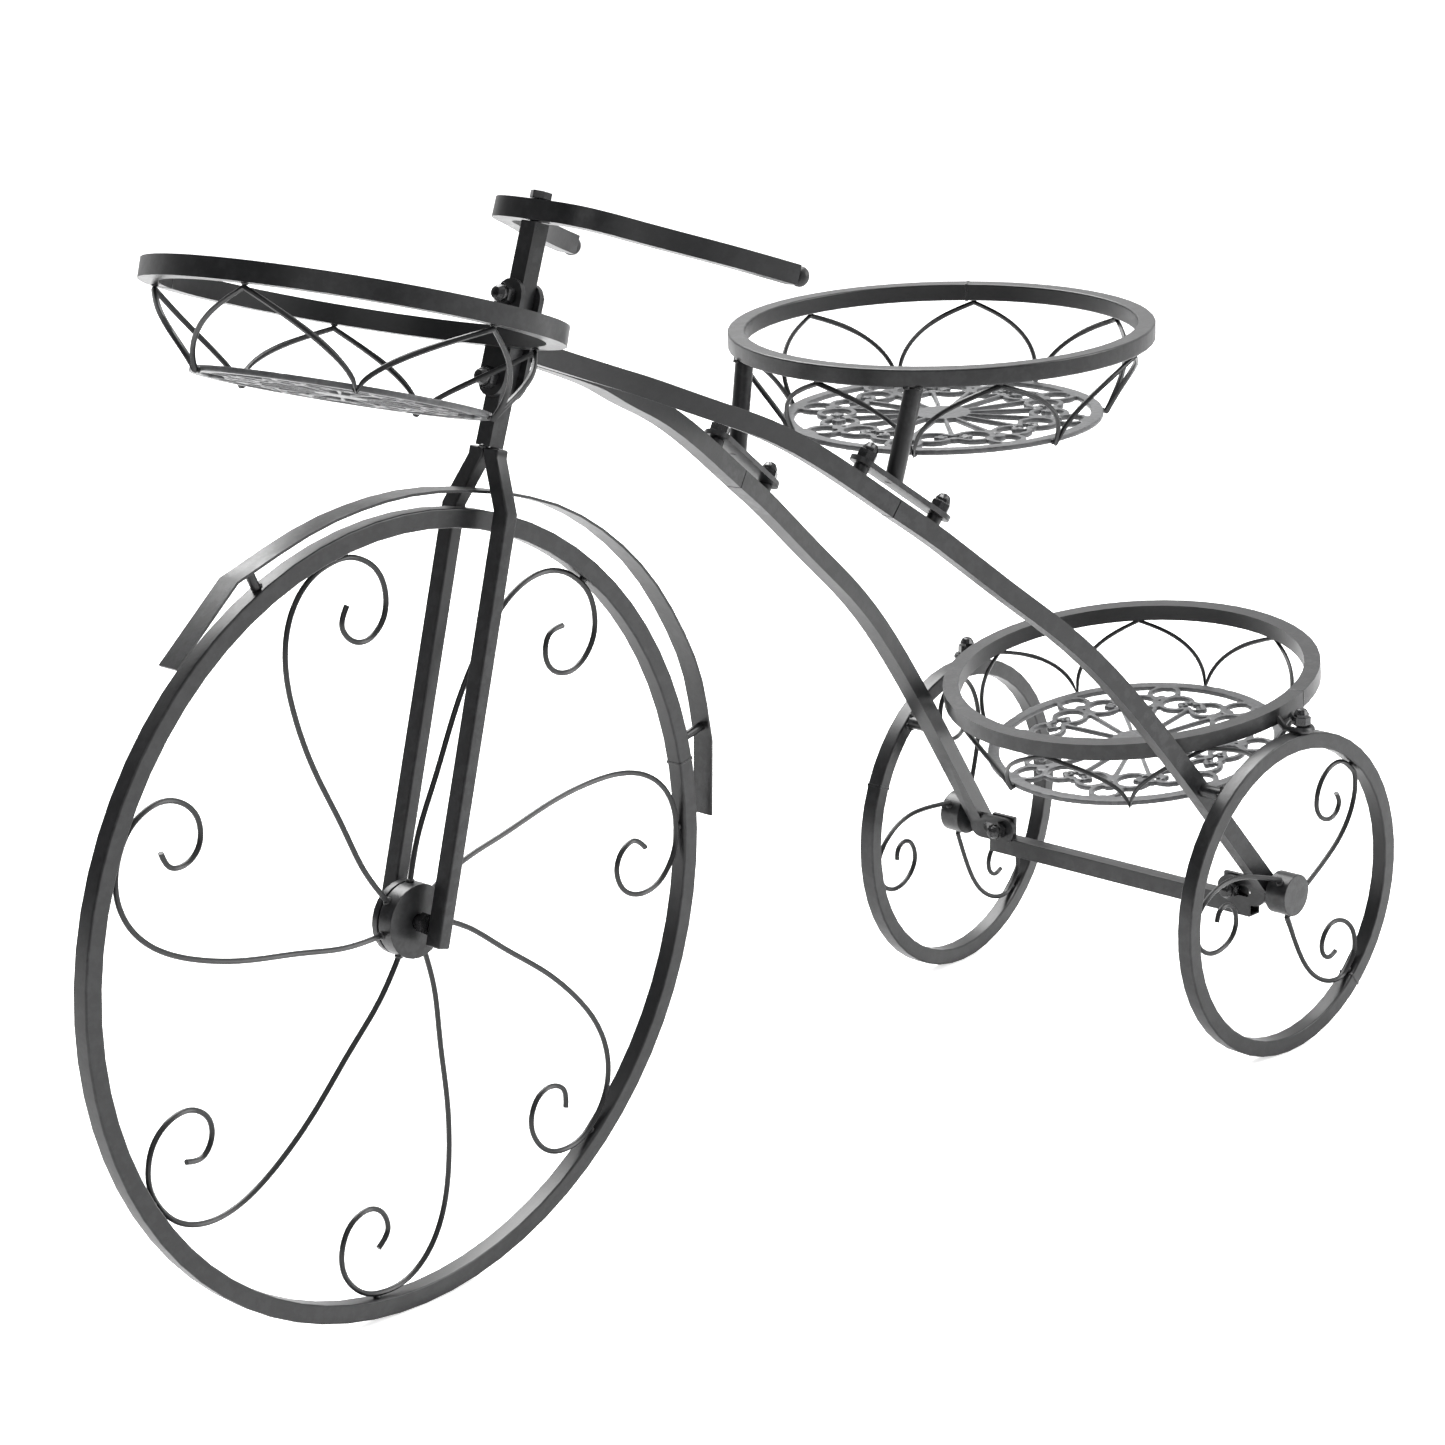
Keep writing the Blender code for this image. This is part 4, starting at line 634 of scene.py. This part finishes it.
def flat_spoke(radius, shares):
    """Add one flat spoke that widens from the middle disc outward."""
    start, end, narrow, wide = (share * radius for share in shares)
    bpy.ops.object.select_all(action="DESELECT")
    bpy.ops.mesh.primitive_plane_add(size=1.0, location=((start + end) / 2, 0.0, 0.0))
    bar = bpy.context.active_object
    with editing("SELECT"):
        bpy.ops.transform.resize(value=(end - start, narrow, 1.0))
        bpy.ops.mesh.select_all(action="DESELECT")
    for vertex in bar.data.vertices:
        vertex.select = vertex.co.x > 0.0
    with editing():
        bpy.ops.transform.resize(value=(1.0, wide / narrow, 1.0))
    return bar


def sector_half(name, radius, rings, opening, discs, spoke):
    """Join the rings, discs and spoke that share one middle line of the floor's pattern."""
    pieces = [flat_ring(radius, ring, FLOOR_STRIP_SHARE, opening) for ring in rings]
    pieces += [flat_disc(radius, disc) for disc in discs]
    pieces.append(flat_spoke(radius, spoke))
    return joined(pieces, name)


def turned_copy(piece, angle):
    """Copy a flat piece of the pattern and turn the copy about the floor's middle."""
    mesh = piece.data.copy()
    mesh.transform(Matrix.Rotation(angle, 4, "Z"))
    return in_scene(piece.name, mesh)


def flat_pattern(name, radius):
    """Lay out one floor's whole pattern, flat and without thickness."""
    leaf = sector_half("leaf", radius, CURL_RING_SHARES, CURL_OPENING, LEAF_DISC_SHARES, MIDDLE_SPOKE_SHARES)
    border = sector_half("border", radius, BORDER_RING_SHARES, 0.0, BORDER_DISC_SHARES, BORDER_SPOKE_SHARES)
    pieces = [
        flat_disc(radius, (0.0, 0.0, FLOOR_DISC_SHARE)),
        flat_ring(radius, (0.0, 0.0, 1.0), FLOOR_RIM_SHARE),
    ]
    step = math.tau / FLOOR_SECTORS
    for sector in range(FLOOR_SECTORS):
        pieces.append(turned_copy(leaf, sector * step))
        pieces.append(turned_copy(border, (sector + 0.5) * step))
    for master in (leaf, border):
        bpy.data.objects.remove(master)
    return joined(pieces, name)


def cast_floor(node):
    """Cast one pierced floor: curled rings with clover leaves, bordered rings and tapered spokes."""
    facing, middle = FLOOR_PLACES[node]
    radius = max((vertex.co - middle).cross(facing).length for vertex in NODES[node].data.vertices)
    floor = flat_pattern(node + "_cast", radius)
    apply_modifier(floor, "SOLIDIFY", thickness=FLOOR_DEEP, offset=-1.0)
    apply_modifier(floor, "REMESH", mode="VOXEL", voxel_size=FLOOR_VOXEL)
    apply_modifier(floor, "SMOOTH", factor=0.5, iterations=3)
    apply_modifier(floor, "DECIMATE", ratio=FLOOR_FACES_SHARE)
    forward = Vector((0.0, 1.0, 0.0)).cross(facing).normalized()
    turn = Matrix((forward, facing.cross(forward), facing)).transposed().to_4x4()
    floor.data.transform(Matrix.Translation(middle) @ turn)
    only(floor)
    bpy.ops.object.shade_smooth_by_angle(angle=math.radians(38.0))
    stand_for(floor, node)


def surface_tree(node):
    """Give a node's surface in a form that finds nearest points."""
    mesh = NODES[node].data
    return BVHTree.FromPolygons([v.co for v in mesh.vertices], [tuple(p.vertices) for p in mesh.polygons])


def contact_spots(welded, base, reach, spread):
    """List where one node comes within reach of another: middle of the touch and its normal."""
    tree = surface_tree(base)
    touches = []
    for vertex in NODES[welded].data.vertices:
        place, normal, _, distance = tree.find_nearest(vertex.co, reach)
        if place is not None:
            touches.append((distance, (vertex.co + place) / 2, normal))
    touches.sort(key=lambda touch: (touch[0], tuple(touch[1])))
    spots = []
    for _, place, normal in touches:
        for spot in spots:
            gap = (spot[0] / spot[2] - place).length
            if gap < spread / 2:
                spot[0] += place
                spot[1] += normal
                spot[2] += 1
            if gap < spread:
                break
        else:
            spots.append([place.copy(), normal.copy(), 1])
    return [(total / count, facing.normalized()) for total, facing, count in spots]


def bead_master(seed, lumps):
    """Model one weld bead of unit radius: a flattened ball with a rippled, uneven skin."""
    bpy.ops.object.select_all(action="DESELECT")
    bpy.ops.mesh.primitive_uv_sphere_add(segments=14, ring_count=9, radius=1.0, location=(0.0, 0.0, 0.0))
    bead = bpy.context.active_object
    with editing("SELECT"):
        bpy.ops.transform.resize(value=(1.0, 1.0, BEAD_HEIGHT_SHARE))
        bpy.ops.transform.vertex_random(offset=lumps, uniform=0.0, normal=1.0, seed=seed)
        bpy.ops.mesh.vertices_smooth(factor=0.5, repeat=1)
    return bead


def weld_row(name, spots, radius, node, masters):
    """Copy the bead masters to every spot and join them as one piece."""
    beads = []
    for index, (place, normal) in enumerate(spots):
        mesh = masters[index % len(masters)].data.copy()
        turn = normal.to_track_quat("Z", "X").to_matrix().to_4x4()
        spin = Matrix.Rotation(index * BEAD_TURN, 4, "Z")
        mesh.transform(Matrix.Translation(place) @ turn @ spin @ Matrix.Scale(radius, 4))
        beads.append(in_scene(name, mesh))
    piece = joined(beads, name)
    bpy.ops.object.shade_smooth()
    wear_finish(piece, "weld_coat", node)


def weld_pairs(welded_word, base_word):
    """List the pairs of nodes on one body whose names hold the two words."""
    pairs = []
    for welded in sorted(NODES):
        for base in sorted(NODES):
            named = welded_word in welded and base_word in base
            if named and welded != base and BODY_OF[welded] == BODY_OF[base]:
                pairs.append((welded, base))
    return pairs


def hoop_plane(node):
    """Give a hoop's middle and the two directions of its plane from its own points."""
    points = [vertex.co for vertex in NODES[node].data.vertices]
    low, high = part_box(node)
    middle = (low + high) / 2
    far = max(points, key=lambda point: (point - middle).length)
    first = (far - middle).normalized()
    best = max(points, key=lambda point: first.cross(point - middle).length)
    normal = first.cross(best - middle).normalized()
    faces_down = normal.z < -0.3
    faces_far_side = normal.y > 0.5
    if faces_down or faces_far_side:
        normal = -normal
    across = Vector((1.0, 0.0, 0.0))
    across = (across - normal * across.dot(normal)).normalized()
    return middle, across, normal.cross(across)


def cut_away(place, direction):
    """Cut the piece in edit mode by a plane and drop what lies beyond it."""
    bpy.ops.mesh.select_all(action="SELECT")
    bpy.ops.mesh.bisect(plane_co=place, plane_no=direction, use_fill=True, clear_outer=True)


def hoop_seam(node, turn, width, rise):
    """Slice a thin band from a copy of the hoop and swell it into the ground-down closing seam."""
    middle, across, along = hoop_plane(node)
    angle = math.radians(turn)
    outward = across * math.cos(angle) + along * math.sin(angle)
    sideways = along * math.cos(angle) - across * math.sin(angle)
    piece = copy_of_node(node, node + "_seam")
    with editing():
        cut_away(middle, -outward)
        cut_away(middle + sideways * width / 2, sideways)
        cut_away(middle - sideways * width / 2, -sideways)
        bpy.ops.mesh.select_all(action="SELECT")
        bpy.ops.mesh.remove_doubles(threshold=MERGE_NEAR)
        bpy.ops.mesh.normals_make_consistent(inside=False)
        bpy.ops.transform.shrink_fatten(value=rise)
    if not piece.data.polygons:
        raise RuntimeError(f"the seam of {node} came out empty")
    round_edges(piece, rise, segments=2, angle=40.0)
    bpy.ops.object.shade_smooth_by_angle(angle=math.radians(35.0))
    wear_finish(piece, "weld_coat", node)


def studio_floor():
    """Lay the pale floor, which glows white to the camera and dimly to everything else."""
    bpy.ops.object.select_all(action="DESELECT")
    bpy.ops.mesh.primitive_plane_add(size=PAPER_SIZE, location=(0.0, 0.0, -PAPER_DROP))
    floor = bpy.context.active_object
    floor.name = "studio_floor"
    material = bpy.data.materials.new("studio_floor_paper")
    tree = Tree(material)
    tone = tree.blend(tree.noise(tree.place(), PAPER_CELLS), PAPER_DARK, PAPER_PALE)
    seen = tree.node("ShaderNodeLightPath", {}, {}, "Is Camera Ray")
    glow = tree.blend(seen, PAPER_BOUNCE, WHITE)
    tree.surface(Base_Color=tone, Roughness=0.9, Specular_IOR_Level=0.1,
                 Emission_Color=glow, Emission_Strength=PAPER_GLOW)
    floor.data.materials.append(material)


def studio_world(scene):
    """Surround the object with a soft room that is white to the camera and darker on one side."""
    world = bpy.data.worlds.new("studio_world")
    scene.world = world
    tree = Tree(world)
    seen = tree.node("ShaderNodeLightPath", {}, {}, "Is Camera Ray")
    shine = tree.node("ShaderNodeLightPath", {}, {}, "Is Glossy Ray")
    through = tree.node("ShaderNodeLightPath", {}, {}, "Is Transmission Ray")
    ray = tree.node("ShaderNodeTexCoord", {}, {}, "Generated")
    bright = math.radians(CAMERA_YAW + BRIGHT_SIDE)
    toward = (math.sin(bright), math.cos(bright), 0.0)
    facing = tree.node("ShaderNodeVectorMath", {"operation": "DOT_PRODUCT"}, {0: ray, 1: toward}, "Value")
    room = tree.blend(facing.above(*ROOM_TURN), ROOM_DARK, WHITE)
    mirrored = tree.blend(facing.above(*MIRROR_TURN), MIRROR_DARK, WHITE)
    glow = tree.blend(shine, room, mirrored)
    glow = tree.blend((seen + through).clamp(), glow, WHITE)
    light = tree.node("ShaderNodeBackground", {}, {"Color": glow, "Strength": 1.0})
    tree.node("ShaderNodeOutputWorld", {}, {"Surface": light})


def studio_lamps(scene):
    """Hang the soft lamps and aim them at the object."""
    for name, place, size, power in LAMPS:
        data = bpy.data.lights.new(name, "AREA")
        data.size = size
        data.energy = power
        lamp = bpy.data.objects.new(name, data)
        lamp.location = place
        lamp.rotation_euler = (LAMP_AIM - Vector(place)).to_track_quat("-Z", "Y").to_euler()
        scene.collection.objects.link(lamp)


def photo_camera(scene):
    """Place the camera as in the photograph."""
    yaw, pitch, roll = (math.radians(turn) for turn in (CAMERA_YAW, CAMERA_PITCH, CAMERA_ROLL))
    ahead = Vector((math.sin(yaw) * math.cos(pitch), math.cos(yaw) * math.cos(pitch), math.sin(pitch)))
    right = Vector((math.cos(yaw), -math.sin(yaw), 0.0))
    above = right.cross(ahead)
    side = right * math.cos(roll) + above * math.sin(roll)
    up = above * math.cos(roll) - right * math.sin(roll)
    data = bpy.data.cameras.new("photo_camera")
    data.lens = CAMERA_LENS
    data.sensor_width = CAMERA_SENSOR
    data.clip_start = 0.05
    data.clip_end = 60.0
    camera = bpy.data.objects.new("photo_camera", data)
    turn = Matrix((side, up, -ahead)).transposed().to_4x4()
    camera.matrix_world = Matrix.Translation(CAMERA_PLACE) @ turn
    scene.collection.objects.link(camera)
    scene.camera = camera


class StandLooks(bpy.types.PropertyGroup):
    """Sizes and colours of the stand's finish."""

    coat_colour: bpy.props.FloatVectorProperty(
        name="Coat colour", description="Powder coat of the tubes, wires and rings",
        subtype="COLOR", size=3, min=0.0, max=1.0, default=(0.0110, 0.0112, 0.0118))
    coat_roughness: bpy.props.FloatProperty(
        name="Coat roughness", description="Satin of the powder coat", min=0.0, max=1.0, default=0.34)
    floor_colour: bpy.props.FloatVectorProperty(
        name="Floor colour", description="Coat of the pierced basket floors",
        subtype="COLOR", size=3, min=0.0, max=1.0, default=(0.070, 0.071, 0.073))
    floor_roughness: bpy.props.FloatProperty(
        name="Floor roughness", description="Satin of the pierced floors", min=0.0, max=1.0, default=0.38)
    fastener_colour: bpy.props.FloatVectorProperty(
        name="Fastener colour", description="Blackened nuts and bolts",
        subtype="COLOR", size=3, min=0.0, max=1.0, default=(0.007, 0.007, 0.0075))
    fastener_roughness: bpy.props.FloatProperty(
        name="Fastener roughness", description="Gloss of the nuts and bolts", min=0.0, max=1.0, default=0.20)
    grip_colour: bpy.props.FloatVectorProperty(
        name="End plug colour", description="Moulded plugs of the handlebar",
        subtype="COLOR", size=3, min=0.0, max=1.0, default=(0.020, 0.020, 0.021))
    grip_roughness: bpy.props.FloatProperty(
        name="End plug roughness", description="Sheen of the moulded plugs", min=0.0, max=1.0, default=0.45)
    grain_depth: bpy.props.FloatProperty(
        name="Grain depth", description="Depth of the coat's orange peel",
        subtype="DISTANCE", unit="LENGTH", min=0.0, max=0.001, default=0.00005, precision=6)
    seam_width: bpy.props.FloatProperty(
        name="Seam width", description="Width of a hoop's closing seam",
        subtype="DISTANCE", unit="LENGTH", min=0.0002, max=0.005, default=0.0014, precision=5)
    seam_rise: bpy.props.FloatProperty(
        name="Seam rise", description="How far a closing seam stands proud",
        subtype="DISTANCE", unit="LENGTH", min=0.00005, max=0.001, default=0.00025, precision=5)
    bead_lumps: bpy.props.FloatProperty(
        name="Bead lumps", description="Unevenness of a weld bead as a share of its radius",
        min=0.0, max=0.5, default=0.16)


class FinishTubes(bpy.types.Operator):
    """Round and coat the square tubes of the frame, the rims and the basket rings"""

    bl_idname = "stand.finish_tubes"
    bl_label = "Finish the square tubes"

    def execute(self, context):
        finish_kind("square tube")
        return {"FINISHED"}


class FinishSheets(bpy.types.Operator):
    """Round and coat the fender, the head plate and the seat posts"""

    bl_idname = "stand.finish_sheets"
    bl_label = "Finish the sheet pieces"

    def execute(self, context):
        finish_kind("sheet")
        return {"FINISHED"}


class FinishFloors(bpy.types.Operator):
    """Cast and coat the pierced basket floors"""

    bl_idname = "stand.finish_floors"
    bl_label = "Finish the pierced floors"

    def execute(self, context):
        for node in FLOOR_PLACES:
            cast_floor(node)
        return {"FINISHED"}


class FinishWires(bpy.types.Operator):
    """Smooth and coat the scrolls and the basket arches, and turn the end plugs"""

    bl_idname = "stand.finish_wires"
    bl_label = "Finish the wires and end plugs"

    def execute(self, context):
        finish_kind("wire")
        for node in sorted(NODES):
            if kind_of(node) == "plug":
                end_plug(node)
        return {"FINISHED"}


class FinishHardware(bpy.types.Operator):
    """Chamfer and blacken the nuts, bolts, axle and hubs"""

    bl_idname = "stand.finish_hardware"
    bl_label = "Finish the hardware"

    def execute(self, context):
        finish_kind("hardware")
        return {"FINISHED"}


class AddWelds(bpy.types.Operator):
    """Lay a weld bead wherever a wire or bar meets what it is welded to"""

    bl_idname = "stand.add_welds"
    bl_label = "Add the weld beads"

    def execute(self, context):
        lumps = context.scene.stand_looks.bead_lumps
        masters = [bead_master(seed, lumps) for seed in BEAD_SEEDS]
        for welded_word, base_word, radius, reach, spread in WELDS:
            for welded, base in weld_pairs(welded_word, base_word):
                spots = contact_spots(welded, base, reach, spread)
                if spots:
                    weld_row(f"weld_{welded}_{base}", spots, radius, welded, masters)
        for master in masters:
            bpy.data.objects.remove(master)
        return {"FINISHED"}


class AddSeams(bpy.types.Operator):
    """Close each bent hoop with its thin ground weld seam"""

    bl_idname = "stand.add_seams"
    bl_label = "Add the closing seams"

    def execute(self, context):
        looks = context.scene.stand_looks
        for node, turn in SEAMS:
            hoop_seam(node, turn, looks.seam_width, looks.seam_rise)
        return {"FINISHED"}


class SetStage(bpy.types.Operator):
    """Stand the object on a pale floor in soft studio light, seen as in the photograph"""

    bl_idname = "stand.set_stage"
    bl_label = "Set the studio"

    def execute(self, context):
        studio_floor()
        studio_world(context.scene)
        studio_lamps(context.scene)
        photo_camera(context.scene)
        context.scene.view_settings.view_transform = "Standard"
        return {"FINISHED"}


class StandPanel(bpy.types.Panel):
    """Lists the stand's finishing steps and its sizes and colours"""

    bl_idname = "VIEW3D_PT_stand_finish"
    bl_label = "Plant stand finish"
    bl_space_type = "VIEW_3D"
    bl_region_type = "UI"
    bl_category = "Plant stand"

    def draw(self, context):
        looks = context.scene.stand_looks
        for name in StandLooks.__annotations__:
            self.layout.prop(looks, name)
        for step in STEPS:
            self.layout.operator(step.bl_idname)


STEPS = (FinishTubes, FinishSheets, FinishFloors, FinishWires, FinishHardware, AddWelds, AddSeams, SetStage)
CLASSES = (StandLooks,) + STEPS + (StandPanel,)


def register():
    """Register the classes and give the scene its looks."""
    for item in CLASSES:
        bpy.utils.register_class(item)
    bpy.types.Scene.stand_looks = bpy.props.PointerProperty(type=StandLooks)


def unregister():
    """Take the looks and the classes away again."""
    del bpy.types.Scene.stand_looks
    for item in reversed(CLASSES):
        bpy.utils.unregister_class(item)


def main():
    """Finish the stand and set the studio."""
    register()
    for step in STEPS:
        group, name = step.bl_idname.split(".")
        getattr(getattr(bpy.ops, group), name)()


if __name__ == "__main__":
    main()
